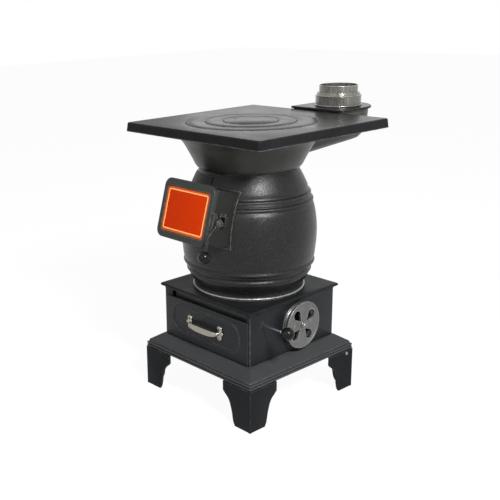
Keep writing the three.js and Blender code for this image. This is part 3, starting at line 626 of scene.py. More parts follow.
def moulding(profile: Sequence[Pair], corner: float, corner_sides: int = 4) -> Mesh:
    """Runs a line of (half width, height) points round a square.

    Args:
        profile: The line, from the bottom up.
        corner: The rounding of the square's corners.
        corner_sides: The sides in that rounding.

    Returns:
        The solid, flat at both ends.
    """
    half, level = profile[0]
    bm = outlined(square(half), corner, corner_sides)
    bmesh.ops.translate(bm, vec=(0, 0, level), verts=bm.verts)
    top = bm.faces[:]
    for next_half, next_level in profile[1:]:
        verts, top = grown_end(bm, top, (half, level) == tuple(profile[0]))
        bmesh.ops.translate(bm, vec=(0, 0, next_level - level), verts=verts)
        bmesh.ops.scale(bm, vec=(next_half / half, next_half / half, 1.0), verts=verts)
        half, level = next_half, next_level
    return tidy(bm)


def rectangle(a: Pair, b: Pair) -> list[Pair]:
    """Gives a rectangle's four corners."""
    return [(a[0], b[0]), (a[1], b[0]), (a[1], b[1]), (a[0], b[1])]


def square(half: float) -> list[Pair]:
    """Gives the four corners of a square round the origin."""
    return rectangle((-half, half), (-half, half))


def arc(centre: Pair, radius: float, start: float, end: float, sides: int = 24) -> list[Pair]:
    """Gives points along an arc.

    Args:
        centre: The arc's centre.
        radius: Its radius.
        start: The first angle in degrees.
        end: The last angle in degrees.
        sides: The number of sides.

    Returns:
        The points, both ends included.
    """
    angles = [math.radians(start + (end - start) * i / sides) for i in range(sides + 1)]
    return [(centre[0] + radius * math.cos(a), centre[1] + radius * math.sin(a)) for a in angles]


def bar(start: Triple, end: Triple, radius: float, sides: int = 24, ease: float = 0.0) -> Mesh:
    """Makes a round bar between two points.

    Args:
        start: The centre of one end.
        end: The centre of the other.
        radius: The bar's radius.
        sides: The number of sides.
        ease: The rounding of its two rims.

    Returns:
        The bar.
    """
    first, second = Vector(start), Vector(end)
    along = second - first
    place = Matrix.Translation((first + second) / 2) @ along.to_track_quat("Z", "Y").to_matrix().to_4x4()
    bm = bmesh.new()
    bmesh.ops.create_cone(
        bm, cap_ends=True, segments=sides, radius1=radius, radius2=radius, depth=along.length, matrix=place
    )
    if ease > 0:
        rims = [line for line in bm.edges if any(len(face.verts) > 4 for face in line.link_faces)]
        rounded(bm, rims, ease, 3)
    return tidy(bm)


def upright(centre: Pair, z: Pair, radius: float, sides: int = 24, ease: float = 0.0) -> Mesh:
    """Makes an upright round bar between two heights."""
    return bar((*centre, z[0]), (*centre, z[1]), radius, sides, ease)


def swept(stations: Sequence[Matrix], sides: int = 20) -> Mesh:
    """Skins a solid over circles, each a unit circle placed and stretched by its matrix.

    Args:
        stations: The circles' matrices, in order.
        sides: The number of sides round.

    Returns:
        The solid, closed at both ends.
    """
    bm = bmesh.new()
    hoops = []
    for station in stations:
        made = bmesh.ops.create_circle(bm, cap_ends=False, segments=sides, radius=1.0, matrix=station)
        hoops.append(list({line for vert in made["verts"] for line in vert.link_edges}))
    for first, second in zip(hoops, hoops[1:]):
        bmesh.ops.bridge_loops(bm, edges=first + second)
    bmesh.ops.holes_fill(bm, edges=bm.edges, sides=0)
    return tidy(bm)


def combined(base: Mesh, steps: Iterable[tuple[Cut, Mesh]]) -> Mesh:
    """Joins solids to a base and cuts solids from it, in order.

    Args:
        base: The solid to start from.
        steps: Each next solid, with what it does.

    Returns:
        The finished solid.
    """
    helpers = [main := placed(stored(base))]
    for how, tool in steps:
        helpers.append(placed(stored(tool)))
        modifier = main.modifiers.new("cut", "BOOLEAN")
        modifier.operation = how.value
        modifier.solver = "EXACT"
        modifier.object = helpers[-1]
    shaped = main.evaluated_get(bpy.context.evaluated_depsgraph_get())
    result = bmesh.new()
    result.from_mesh(shaped.to_mesh())
    shaped.to_mesh_clear()
    for held in helpers:
        data = held.data
        bpy.data.objects.remove(held)
        bpy.data.meshes.remove(data)
    bmesh.ops.remove_doubles(result, verts=result.verts, dist=WELD)
    return result


def without(base: Mesh, *tools: Mesh) -> Mesh:
    """Cuts solids from a base, in order."""
    return combined(base, [(Cut.AWAY, tool) for tool in tools])


def merged(*parts: Mesh) -> Mesh:
    """Puts several solids in one mesh without cutting them.

    Args:
        parts: The solids.

    Returns:
        One mesh with all of them.
    """
    whole = bmesh.new()
    for data in map(stored, parts):
        whole.from_mesh(data)
        bpy.data.meshes.remove(data)
    return whole


class Bench:
    """Puts finished solids into the scene, in the frame's place and size."""

    def __init__(self, frame: dict) -> None:
        """Finds the belly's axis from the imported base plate.

        Args:
            frame: The loaded frame.
        """
        self.frame = frame
        low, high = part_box("base_plate")
        self.axis = Vector(((low[0] + high[0]) / 2, (low[1] + high[1]) / 2, 0.0))

    def show(
        self, name: str, bm: Mesh, finish: Finish, body: str, node: Optional[str] = None,
        before: Optional[Matrix] = None, angle: float = 32.0,
    ) -> bpy.types.Object:
        """Makes a piece of a solid.

        Args:
            name: The piece's name.
            bm: Its solid, in millimetres round the belly's axis.
            finish: Its finish.
            body: The body it rides on.
            node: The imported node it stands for, if it stands for one.
            before: A placement in millimetres that comes first.
            angle: The angle in degrees above which an edge stays crisp.

        Returns:
            The piece.
        """
        scale = Matrix.Translation(self.axis) @ Matrix.Diagonal((MM, MM, MM, 1.0))
        bmesh.ops.transform(bm, matrix=scale @ (before or Matrix.Identity(4)), verts=bm.verts)
        data = stored(bm, name)
        data.shade_smooth()
        data.set_sharp_from_angle(angle=math.radians(angle))
        data.materials.append(finish.material())
        piece = placed(data, name)
        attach(piece, body)
        if node:
            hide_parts(node)
        LOG.info("%s: %d faces on %s", name, len(data.polygons), body)
        return piece

    def dress(self, node: str, finish: Finish) -> None:
        """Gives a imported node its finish.

        Args:
            node: The node's name.
            finish: Its finish.
        """
        data = self.frame["nodes"][node].data
        data.materials.clear()
        data.materials.append(finish.material())
        LOG.info("%s: dressed as packed", node)


# ---- Sub-assemblies ------------------------------------------------------------------------------


@dataclass
class Stand:
    """The moulded plinth and its four bracket feet."""

    corner: float = 201.0
    top: float = 111.7
    width_top: float = 97.0
    width_sole: float = 54.0
    wall: float = 7.0
    outer: float = 196.5
    bottom: float = 112.0
    crown: float = 153.0
    inner: float = 160.5
    flange: float = 148.0
    seam: float = 0.05
    bolt_y: float = 173.0
    bolt_z: float = 104.0

    def build(self, bench: Bench) -> None:
        """Builds the feet, their bolts and the plinth.

        Args:
            bench: The bench that puts pieces in the scene.
        """
        nodes = ("foot_front_left", "foot_front_right", "foot_rear_right", "foot_rear_left")
        for quarter, node in enumerate(nodes):
            bench.show(node + "_casting", self.foot(), BLACK_IRON, "stove", node, spun(90 * quarter, "Z"))
        bench.show("plinth_casting", self.plinth(), PLINTH_IRON, "stove", "plinth")
        for side, node in ((1, "foot_bolt_right"), (-1, "foot_bolt_left")):
            bench.show(node + "_domed", self.bolt(side), RAW_STEEL, "stove", node)

    def foot_outline(self) -> list[Pair]:
        """Draws one face of a foot from its corner: two hollow curves down to a narrow sole.

        Returns:
            Points across and up.
        """
        sole, top, waist = self.width_sole, self.width_top, self.width_sole + 14
        shank = flowing([(sole, 0.0), (sole + 5, 9), (sole + 8.4, 22), (sole + 10.6, 35), (waist, 47)])
        bracket = flowing([(waist, 47), (waist + 4, 59), (waist + 10.4, 70), (top - 6, 81)])
        return [(0.0, 0.0), *shank, *bracket[1:], (top, 87), (top, self.top), (0.0, self.top)]

    def foot(self) -> Mesh:
        """Makes the front left foot from two faces and the pad behind them.

        Returns:
            The foot.
        """
        outside, inside = -self.corner, self.wall - self.corner
        outline = [(outside + across, up) for across, up in self.foot_outline()]
        inner = [(across + self.seam, up + (self.seam if up < 1 else -self.seam)) for across, up in outline]
        front = slab(outline, (outside, inside), Facing.XZ, edge=1.6)
        side = slab(inner, (outside + self.seam, inside + self.seam), Facing.YZ, edge=1.5)
        end = outside + self.width_top - 8
        pad = block((outside + 2, end), (outside + 2, end), (self.top - 7, self.top - 1))
        return combined(front, [(Cut.JOIN, side), (Cut.JOIN, pad)])

    def plinth(self) -> Mesh:
        """Makes the plinth: a broad chamfer over two round beads, hollow behind.

        Returns:
            The plinth with the lugs that hold its feet.
        """
        base, outer, inner, crown = self.bottom, self.outer, self.inner, self.crown
        lower = arc((outer + 1.6, base + 4.4), 2.4, -66, 66, 8)
        upper = arc((outer + 1.4, base + 11.6), 2.6, -66, 66, 8)
        shoulder = flowing([
            (outer - 1.4, base + 20.0), (outer - 3.0, base + 21.7), (outer - 5.6, base + 23.3),
        ], 3)
        profile = [
            (outer + 0.6, base), (outer + 0.8, base + 1.6), *lower, (outer - 1.2, base + 7.2),
            (outer - 1.2, base + 8.8), *upper, (outer - 1.6, base + 14.8), (outer - 1.6, base + 16.6),
            (outer - 0.6, base + 17.6), *shoulder,
            (inner + 8.4, crown - 2.8), (inner + 5.6, crown - 1.0), (inner + 3, crown),
        ]
        inside = [(outer - 7, base + 4), (outer - 7, base + 12), (inner, crown - 12), (inner, crown + 1)]
        flange = (-self.flange, self.flange)
        well = block(flange, flange, (base - 1, base + 5))
        near = self.corner - self.wall - 0.6
        right, rear = (near - 7, near), (158, 188)
        left, front = (-near, 7 - near), (-188, -158)
        lugs = [block(x, y, (96, base + 2), 1.0) for x in (left, right) for y in (front, rear)]
        return merged(without(moulding(profile, 4.0, 5), moulding(inside, 2), well), *lugs)

    def bolt(self, side: int) -> Mesh:
        """Makes a domed bolt through a rear foot.

        Args:
            side: 1 on the right and -1 on the left.

        Returns:
            The bolt.
        """
        seat = self.corner + 0.3
        dome = [(5 * across, seat + 1.0 + 2.8 * up) for across, up in arc((0, 0), 1.0, 0, 72, 4)]
        profile = [(0, self.corner - 16), (3, self.corner - 16), (3, seat), (5, seat), *dome, (0, seat + 3.8)]
        place = Matrix.Translation((0, self.bolt_y, self.bolt_z)) @ spun(90 * side, "Y")
        return turned(profile, 32, place=place)


@dataclass
class AshBox:
    """The ash box with its drawer, base plate and grate."""

    half: float = 160.0
    bottom: float = 116.3
    floor: float = 154.0
    top: float = 292.1
    wall: float = 4.0
    mouth: tuple[Pair, Pair] = ((-130.0, 148.0), (158.0, 285.0))
    face: tuple[Pair, Pair] = ((-151.0, 157.0), (156.0, 269.0))
    face_thick: float = 4.7
    panel: tuple[Pair, Pair] = ((-128.0, 130.0), (174.0, 256.0))
    panel_corner: float = 36.0
    port: Triple = (14.4, 225.3, 43.0)
    rod_hole: Triple = (-116.0, 255.5, 5.0)
    handle_x: float = 2.0
    handle_half: float = 56.0
    handle_z: float = 215.5
    handle_reach: float = 16.0
    handle_droop: float = 4.5
    handle_lobe: float = 11.6
    lip: float = 170.5
    lip_top: float = 299.4
    lip_bottom: float = 286.5
    fire_hole: float = 134.0

    @property
    def face_back(self) -> float:
        """The plane behind the drawer's face."""
        return -self.half - 0.3

    @property
    def face_front(self) -> float:
        """The plane of the drawer's face."""
        return self.face_back - self.face_thick

    def build(self, bench: Bench) -> None:
        """Builds the box, the drawer, the base plate and the grate.

        Args:
            bench: The bench that puts pieces in the scene.
        """
        bench.show("ash_box_casting", self.box(), BOX_IRON, "stove", "ash_box")
        bench.show("base_plate_casting", self.base_plate(), BLACK_IRON, "stove", "base_plate")
        bench.dress("ash_pan", DARK_STEEL)
        bench.dress("grate", BELLY_IRON)
        bench.show("drawer_face_casting", self.drawer_face(), DRAWER_IRON, "ash_drawer", "drawer_front")
        bench.show("drawer_bow_handle", self.handle(), NICKEL, "ash_drawer", "drawer_handle")
        bench.show("drawer_handle_screws", self.screws(), SCREW_STEEL, "ash_drawer")

    def box(self) -> Mesh:
        """Makes the box with the drawer's mouth, the register's port and the rod's hole.

        Returns:
            The open box.
        """
        half, wall = self.half, self.wall
        room = (wall - half, half - wall)
        holes = [
            bar((half - wall - 1, y, z), (half + 1, y, z), radius, sides)
            for (y, z, radius), sides in ((self.port, 64), (self.rod_hole, 32))
        ]
        return without(
            block((-half, half), (-half, half), (self.bottom, self.top), 1.1),
            block(room, room, (self.floor + wall, self.top + 1)),
            block(room, room, (self.bottom - 1, self.floor)),
            block(self.mouth[0], (-half - 1, wall - half + 1), self.mouth[1]),
            *holes,
        )

    def base_plate(self) -> Mesh:
        """Makes the plate under the belly: a lip over a cove, with the fire hole and the grate's lugs.

        Returns:
            The plate.
        """
        half, top, low = self.lip, self.lip_top, self.lip_bottom
        cove = flowing([
            (half - 8.4, low + 2.2), (half - 7.4, low + 4.4), (half - 5.0, low + 5.8),
            (half - 2.2, low + 6.3),
        ])
        lip = flowing([
            (half - 1.2, low + 6.6), (half - 0.1, low + 8.2), (half, low + 9.6), (half - 0.7, low + 11.4),
            (half - 2.6, top),
        ])
        pocket = (-self.half - 0.35, self.half + 0.35)
        lugs = [
            moved(block((118, 142), (-12, 12), (285, top - 4)), spun(angle, "Z"))
            for angle in (45, 135, 225, 315)
        ]
        return combined(moulding([(half - 8.6, low), *cove, *lip], 5.0, 5), [
            (Cut.AWAY, block(pocket, pocket, (low - 1, top - 7))),
            (Cut.AWAY, upright((0, 0), (low - 5, top + 1), self.fire_hole, 96)),
            *((Cut.JOIN, lug) for lug in lugs),
            (Cut.AWAY, upright((0, 0), (292.7, top + 1), self.fire_hole, 96)),
        ])

    def drawer_face(self) -> Mesh:
        """Makes the drawer's face with the half round bead of its long panel.

        Returns:
            The face with its bead.
        """
        front, back = self.face_front, self.face_back
        plate = slab(rectangle(*self.face), (front, back), Facing.XZ, corner=4, edge=1.4)
        bead = band(rectangle(*self.panel), 8.0, (front - 1.6, front + 0.4), self.panel_corner, 1.5, 14)
        return merged(plate, bead)

    def handle(self) -> Mesh:
        """Makes the bow handle: a strap that swells in the middle, between two three lobed bases.

        Returns:
            The strap with its bases.
        """
        face, reach, lobe = self.face_front - 0.3, self.handle_reach, self.handle_lobe
        left, right = self.handle_x - self.handle_half, self.handle_x + self.handle_half
        rise = [(0.0, 1.0), (2.6, -0.42 * reach), (9.0, -0.74 * reach), (26.0, -0.95 * reach)]
        path = flowing([
            *((left + x, face + y) for x, y in rise), (self.handle_x, face - reach),
            *((right - x, face + y) for x, y in reversed(rise)),
        ], 6)
        stations = []
        for index, ((x, y), way) in enumerate(zip(path, headings(path))):
            swell = math.sin(math.pi * index / (len(path) - 1))
            frame = Matrix.Rotation(math.atan2(way.y, way.x), 4, "Z") @ ALONG_X @ spun(90, "Z")
            size = Matrix.Diagonal((2.5 + 0.3 * swell, 3.2 + 5.4 * swell ** 1.5, 1.0, 1.0))
            place = Matrix.Translation((x, y, self.handle_z - self.handle_droop * swell))
            stations.append(place @ frame @ size)
        bases = []
        for x, side in ((left, -1), (right, 1)):
            for radius, dx, dz in ((8.6, 0, lobe), (8.2, 0, -lobe), (5.6, side * 7.6, 0), (7.0, 0, 0)):
                profile = [(0, 0), (radius, 0), (radius, 1.6, 0.5), (radius - 1.6, 3.2, 1.0), (0, 3.5)]
                bases.append(turned(profile, 40, place=self.on_face(x + dx, face, dz)))
        return merged(swept(stations), *bases)

    def on_face(self, x: float, y: float, dz: float) -> Matrix:
        """Gives the place on the drawer's face of a round piece that stands out from it."""
        return Matrix.Translation((x, y, self.handle_z + dz)) @ spun(90, "X")

    def screws(self) -> Mesh:
        """Makes the dark screw heads in the handle's lobes.

        Returns:
            The four heads.
        """
        profile = [(0, -1), (3.0, -1), (3.0, 0.2, 0.2), (2.0, 0.9, 0.6), (0, 1.1)]
        return merged(*(
            turned(profile, 28, place=self.on_face(self.handle_x + x, self.face_front - 3.6, dz))
            for x in (-self.handle_half, self.handle_half) for dz in (self.handle_lobe, -self.handle_lobe)
        ))


@dataclass
class Controls:
    """The shaker's rod and the air register."""

    rod_y: float = -116.0
    rod_z: float = 255.5
    rod: float = 3.0
    rod_end: float = 221.0
    rod_bend: float = 12.0
    rod_tip: float = 301.5
    knob_x: float = 244.0
    knob: float = 16.5
    register_y: float = 14.4
    register_z: float = 225.3
    wall: float = 160.0
    reach: float = 18.0
    collar: float = 50.0
    disc: float = 62.5
    petal_tip: float = 14.0
    petal_reach: float = 38.5
    petal: float = 12.6

    def build(self, bench: Bench) -> None:
        """Builds the shaker and the register.

        Args:
            bench: The bench that puts pieces in the scene.
        """
        bench.show("shaker_hooked_rod", self.hooked_rod(), RAW_STEEL, "shaker", "shaker_rod")
        collar = self.at_rod(ferrule(7.2, 4.0, 6.0), self.rod_end)
        bench.show("shaker_turned_ferrule", collar, NICKEL, "shaker", "shaker_ferrule")
        knob = self.at_rod(knob_ball(self.knob), self.knob_x)
        bench.show("shaker_ball", knob, BLACK_BALL, "shaker", "shaker_knob")
        bench.show("register_turned_collar", self.fixed_plate(), RAW_STEEL, "stove", "register_collar")
        bench.show("register_pierced_disc", self.turning_disc(), DISC_STEEL, "register", "register_disc")
        bench.show("register_slotted_bolt", self.bolt(), RAW_STEEL, "stove", "register_bolt")
        bench.dress("register_nut", RAW_STEEL)

    @property
    def hub(self) -> Matrix:
        """The middle of the register's round port, in the plane through the belly's axis."""
        return Matrix.Translation((0, self.register_y, self.register_z))

    def at_rod(self, bm: Mesh, x: float) -> Mesh:
        """Puts a piece drawn along Z on the rod's line."""
        return moved(bm, Matrix.Translation((x, self.rod_y, self.rod_z)) @ ALONG_X)

    def hooked_rod(self) -> Mesh:
        """Makes the rod: in from the side under the base plate, and up into the grate.

        Returns:
            The rod.
        """
        bend, level = self.rod_bend, self.rod_z
        path = [(self.rod_end + 9, level), (120.0, level), (bend, level)]
        path += arc((bend, level + bend), bend, -90, -180, 10)[1:] + [(0.0, self.rod_tip)]
        size = Matrix.Diagonal((self.rod, self.rod, 1.0, 1.0))
        stations = []
        for (x, z), way in zip(path, headings(path)):
            aim = Vector((way.x, 0, way.y)).to_track_quat("Z", "Y").to_matrix().to_4x4()
            stations.append(Matrix.Translation((x, self.rod_y, z)) @ aim @ size)
        return swept(stations)

    def petals(self, x: Pair, grown: float = 0.0) -> list[Mesh]:
        """Makes the cutters of the four teardrop openings.

        Args:
            x: Their limits across.
            grown: How much wider they are than the disc's own openings.

        Returns:
            The cutters.
        """
        round_end = arc((self.petal_reach, 0.0), self.petal + grown, -106, 106, 28)
        outline = [(self.petal_tip - grown, 0.0), *round_end]
        return [moved(slab(outline, x, Facing.YZ), self.hub @ spun(37 + 90 * step, "X")) for step in range(4)]

    def fixed_plate(self) -> Mesh:
        """Makes the fixed collar, closed by a plate with four openings.

        Returns:
            The collar.
        """
        start, end, collar = self.wall + 0.3, self.wall + self.reach, self.collar
        shell = turned([
            (45, start), (collar + 5, start), (collar + 5, start + 3, 0.8), (collar + 1.4, start + 3, 0.6),
            (collar, start + 4.4, 0.6), (collar, end, 0.8), (4.5, end), (4.5, end - 4), (45, end - 4),
        ], 96, True, self.hub @ ALONG_X)
        return without(shell, *self.petals((end - 6, end + 1), 1.4))

    def turning_disc(self) -> Mesh:
        """Makes the turning disc, with a raised rim and a low boss.

        Returns:
            The disc.
        """
        start, disc = self.wall + self.reach + 0.4, self.disc
        shell = turned([
            (4.5, start), (disc - 0.6, start, 0.4), (disc, start + 1.4, 0.5), (disc, start + 4.6, 0.9),
            (disc - 3.6, start + 4.9, 0.9), (disc - 5.2, start + 3.3, 0.6), (17.0, start + 3.3, 0.8),
            (13.5, start + 4.9, 0.8), (4.5, start + 4.9, 0.3),
        ], 96, True, self.hub @ ALONG_X)
        return without(shell, *self.petals((start - 1, start + 6)))

    def bolt(self) -> Mesh:
        """Makes the slotted bolt on its washer.

        Returns:
            The bolt.
        """
        inside, face = self.wall + 2, self.wall + self.reach + 5.4
        shank = turned([
            (0, inside), (4, inside), (4, face + 0.4), (9.4, face + 0.4, 0.3), (9.4, face + 1.9, 0.4),
            (6.8, face + 2.0), (6.8, face + 4.4, 0.6), (5.2, face + 6.6, 1.2), (0, face + 7.4),
        ], 96, place=self.hub @ ALONG_X)
        slot = block((face + 5.4, face + 9), (-9, 9), (-0.9, 0.9))
        return without(shank, moved(slot, self.hub @ spun(28, "X")))


def ferrule(length: float, small: float, large: float) -> Mesh:
    """Makes a tapered ferrule with a bead, along Z from zero.

    Args:
        length: Its length.
        small: Its radius at the rod.
        large: Its radius at the ball.

    Returns:
        The ferrule.
    """
    return turned([
        (3.3, 0), (small, 0, 0.4), (small + 0.8, length * 0.3, 0.4), (small + 0.2, length * 0.42, 0.3),
        (large, length * 0.58, 0.6), (large, length - 0.4, 0.4), (large - 0.6, length), (3.3, length),
    ], 48, ring=True)


def knob_ball(radius: float) -> Mesh:
    """Makes a ball knob about the origin, with a flat and a socket for its rod on -Z.

    Args:
        radius: Its radius.

    Returns:
        The knob.
    """
    flat = block((-radius, radius), (-radius, radius), (-radius - 1, 1.2 - radius))
    socket = upright((0, 0), (-radius - 1, 11 - radius), 3.3)
    ball = bmesh.new()
    bmesh.ops.create_uvsphere(ball, u_segments=64, v_segments=32, radius=radius)
    return without(tidy(ball), flat, socket)


@dataclass
class FireBarrel:
    """The belly with its chute, the firing door and the latch."""

    bottom: float = 299.7
    top: float = 620.7
    bead_centre: Pair = (147.2, 304.2)
    bead: float = 2.1
    lean: float = 16.0
    door_centre: Triple = (0.0, -224.5, 537.0)
    chute_half: float = 86.0
    chute_z: Pair = (-66.0, 70.0)
    chute_y: Pair = (12.8, 118.0)
    chute_wall: float = 8.0
    frame: float = 4.5
    panel_edge: float = 6.5
    door_x: Pair = (-93.0, 88.5)
    door_z: Pair = (-74.0, 77.5)
    door_thick: float = 12.0
    recess_x: Pair = (-79.0, 76.0)
    recess_z: Pair = (-57.0, 57.5)
    recess: float = 4.0
    hinge_x: float = -91.2
    hinge_depth: float = 17.6
    knuckle: float = 4.6
    pin: float = 2.5
    pin_half: float = 58.0
    latch_x: float = 97.0
    latch_depth: float = 22.0
    latch_z: float = -8.0
    latch_hub: float = 10.5
    latch_thick: float = 6.0
    ball_place: Triple = (100.0, -5.0, -94.0)
    ball: float = 15.5
    outside: tuple[Pair, ...] = (
        (145.6, 307.4), (146, 317), (154.5, 331), (161.6, 345.2), (161.2, 347.5), (165.2, 350),
        (165.6, 352.4), (163.3, 355.4), (163.1, 357.2), (166.4, 362.6), (168.2, 368.7), (171.8, 370.3),
        (173.8, 373.2), (173.4, 376.6), (170.8, 379.2), (173.6, 390), (175.6, 408), (177.6, 430),
        (178.2, 450), (177.8, 468), (176.4, 484), (174.4, 499), (171.6, 514), (168.4, 526), (164.7, 533.8),
        (167.2, 536.4), (167.6, 539.2), (165.6, 542.8), (161.6, 544.8), (161.2, 549.4), (158.4, 553.5),
        (160.9, 555), (160.8, 558.2), (158.4, 561), (154.5, 562.2), (151.4, 575), (144.6, 590),
        (137.6, 604), (128, 620.7),
    )
    inside: tuple[Pair, ...] = (
        (120, 620.7), (135.5, 590), (154, 542), (168, 494), (170, 450), (167, 400), (155, 350), (138, 314),
        (138, 299.7),
    )
    skin: tuple[Pair, ...] = (
        (0, 430), (181, 430), (181.4, 455), (179.6, 484), (174.8, 514), (168.4, 536), (163.6, 556),
        (154.6, 575), (147.8, 590), (141, 603), (135.6, 612.5), (0, 612.5),
    )

    @property
    def slope(self) -> Matrix:
        """The placement of the leaning door's axes."""
        return Matrix.Translation(self.door_centre) @ spun(-self.lean, "X")

    def build(self, bench: Bench) -> None:
        """Builds the belly, the door and the latch.

        Args:
            bench: The bench that puts pieces in the scene.
        """
        bench.show("belly_casting", self.belly(), BELLY_IRON, "stove", "belly", angle=40)
        bench.show("chute_casting", self.chute(), CHUTE_IRON, "stove")
        # The foot bead's light finish is a painted highlight along the flange's edge.
        bench.show("belly_foot_bead", self.foot_bead(), HIGHLIGHT_BEAD_IRON, "stove")
        hang = Matrix.Translation(self.ball_place) @ UPSIDE_DOWN
        nut = Matrix.Translation((0, 0, self.ball - 4.9)) @ hang
        for name, bm, finish, body, node in (
            ("fire_door_casting", self.door(), DOOR_IRON, "door", "fire_door"),
            ("fire_door_rim", self.door_rim(), DOOR_IRON, "door", None),
            ("door_plaque_sheet", self.plaque(), RED_ENAMEL, "door", "door_plaque"),
            # The plaque's margin is painted shade for the rim's shadow.
            ("door_plaque_margin", self.plaque_margin(), RIM_SHADE_ENAMEL, "door", None),
            ("door_plaque_line", self.plaque_line(), GOLD_ENAMEL, "door", None),
            ("door_hinge_rod", self.hinge_pin(), RAW_STEEL, "stove", "door_hinge_pin"),
            ("latch_lever_forging", self.lever(), LATCH_IRON, "latch", "latch_lever"),
            ("latch_pivot_bolt", self.pivot(), SCREW_STEEL, "door", "latch_bolt"),
            ("latch_keeper_plate", self.keeper(), LATCH_IRON, "stove", "latch_keeper"),
            ("latch_ball", moved(knob_ball(self.ball), hang), BLACK_BALL, "latch", "latch_knob"),
            ("latch_ball_nut", moved(ferrule(5.2, 4.2, 6.2), nut), NICKEL, "latch", None),
        ):
            bench.show(name, bm, finish, body, node, self.slope)

    def hollow(self) -> Mesh:
        """Makes the room inside the belly.

        Returns:
            The room as a solid, for cutting.
        """
        (neck, _), (foot, _) = self.inside[0], self.inside[-1]
        wall = [(foot, self.bottom - 1), *reversed(self.inside[:-1]), (neck, self.top + 1)]
        return turned([(0, self.bottom - 1), *wall, (0, self.top + 1)], 96)

    def passage(self) -> Mesh:
        """Makes the room inside the chute, placed on the stove.

        Returns:
            The room as a solid, for cutting.
        """
        half, wall = self.chute_half - self.chute_wall, self.chute_wall
        inner = (self.chute_z[0] + wall, self.chute_z[1] - wall)
        return moved(block((-half, half), (self.chute_y[0] - 1, self.chute_y[1] + 40), inner), self.slope)

    def belly(self) -> Mesh:
        """Makes the barrel with its four beads, open where the chute comes in.

        Returns:
            The barrel.
        """
        flange = [(148, self.bottom), (148, self.bottom + 4.2, 1.2), (146.2, self.bottom + 6.4, 1.0)]
        line = [*flange, *flowing(self.outside, 3), *flowing(self.inside, 2)]
        return without(turned(line, 160, True), self.passage())

    def chute(self) -> Mesh:
        """Makes the chute, the flat frame where it meets the barrel and the low panel above it.

        Returns:
            The chute with its knuckles.
        """
        half, frame = self.chute_half, self.frame
        low, high = self.chute_z
        shell = turned(self.skin, 160)
        depth = (self.chute_y[0] + 20, self.chute_y[1] + 40)
        border = block((-half - frame, half + frame), depth, (low - frame, high + frame), 1.2)
        panel = block((-half - frame, self.panel_edge), (depth[0], depth[1] + 20), (high, high + 50))
        outline = combined(moved(border, self.slope), [(Cut.JOIN, moved(panel, self.slope))])
        collar = combined(shell, [(Cut.KEEP, outline), (Cut.AWAY, self.hollow())])
        tube = moved(block((-half, half), self.chute_y, (low, high), 2.4, 3), self.slope)
        body = combined(tube, [(Cut.AWAY, self.hollow()), (Cut.JOIN, collar), (Cut.AWAY, self.passage())])
        return merged(body, *self.knuckles())

    def knuckles(self) -> list[Mesh]:
        """Makes the chute's two hinge knuckles, placed on the stove.

        Returns:
            The knuckles and their webs.
        """
        pieces = []
        for z in ((31, 43), (-43, -31)):
            roll = upright((self.hinge_x, self.hinge_depth), z, self.knuckle, ease=0.6)
            depth = (self.hinge_depth, self.hinge_depth + self.knuckle)
            web = block((self.hinge_x, 1 - self.chute_half), depth, z, 0.5)
            pieces += [moved(roll, self.slope), moved(web, self.slope)]
        return pieces

    def foot_bead(self) -> Mesh:
        """Makes the thin rolled bead on the belly's foot flange, painted light as a highlight along the
        flange's edge.
        """
        return turned(arc(self.bead_centre, self.bead, 0, 345, 12), 160, True)

    def door(self) -> Mesh:
        """Makes the door's plate with the recess for its plaque, its knuckles and the latch's ear.

        Returns:
            The door.
        """
        plate = slab(rectangle(self.door_x, self.door_z), (0, self.door_thick), Facing.XZ, 21, 12, 2.6, 4)
        pocket = slab(self.recess_outline(0), (-1, self.recess), Facing.XZ, 10, 8)
        depth, low, thick = self.latch_depth, self.latch_z, self.door_thick
        eye = arc((depth, low), 9.5, -90, 90, 20)
        ear = slab(
            [(4, low + 22), (4, low - 20), (thick, low - 20), *eye, (thick, low + 22)],
            (self.door_x[1] - 1, self.latch_x - 0.4), Facing.YZ, edge=0.8,
        )
        pieces = [without(plate, pocket), ear]
        for z in ((43.5, 55.5), (-55.5, -43.5)):
            x, out = self.hinge_x, self.hinge_depth
            pieces.append(upright((x, out), z, self.knuckle, ease=0.6))
            pieces.append(block((x - 1, x + self.knuckle), (thick - 1, out), z, 0.5))
        return merged(*pieces)

    def door_rim(self) -> Mesh:
        """Makes the narrow raised edge round the plaque's recess."""
        return band(self.recess_outline(-3.2), 3.0, (-0.7, 1.0), 12.5, 0.6)

    def recess_outline(self, inset: float) -> list[Pair]:
        """Draws the recess's outline, drawn in by a margin."""
        return rectangle(*[(low + inset, high - inset) for low, high in (self.recess_x, self.recess_z)])

    def plaque(self) -> Mesh:
        """Makes the plain enamelled plaque."""
        return slab(self.recess_outline(0.6), (1.1, 3.7), Facing.XZ, 9, 8, 0.7)

    def plaque_margin(self) -> Mesh:
        """Makes the darker enamel round the plaque's line, painted shade where the rim's shadow falls on the
        plaque's edge.
        """
        return band(self.recess_outline(1.0), 5.2, (0.95, 1.3), 8.6, 0.1)

    def plaque_line(self) -> Mesh:
        """Makes the raised enamel line round the plaque."""
        return band(self.recess_outline(6.0), 3.2, (0.45, 1.3), 5.5, 0.3)

    def hinge_pin(self) -> Mesh:
        """Makes the hinge's pin with a low head.

        Returns:
            The pin.
        """
        centre, end = (self.hinge_x, self.hinge_depth), self.pin_half
        head = upright(centre, (end - 2.1, end), self.pin + 1.3, ease=0.7)
        return merged(upright(centre, (-end, end), self.pin, ease=0.5), head)

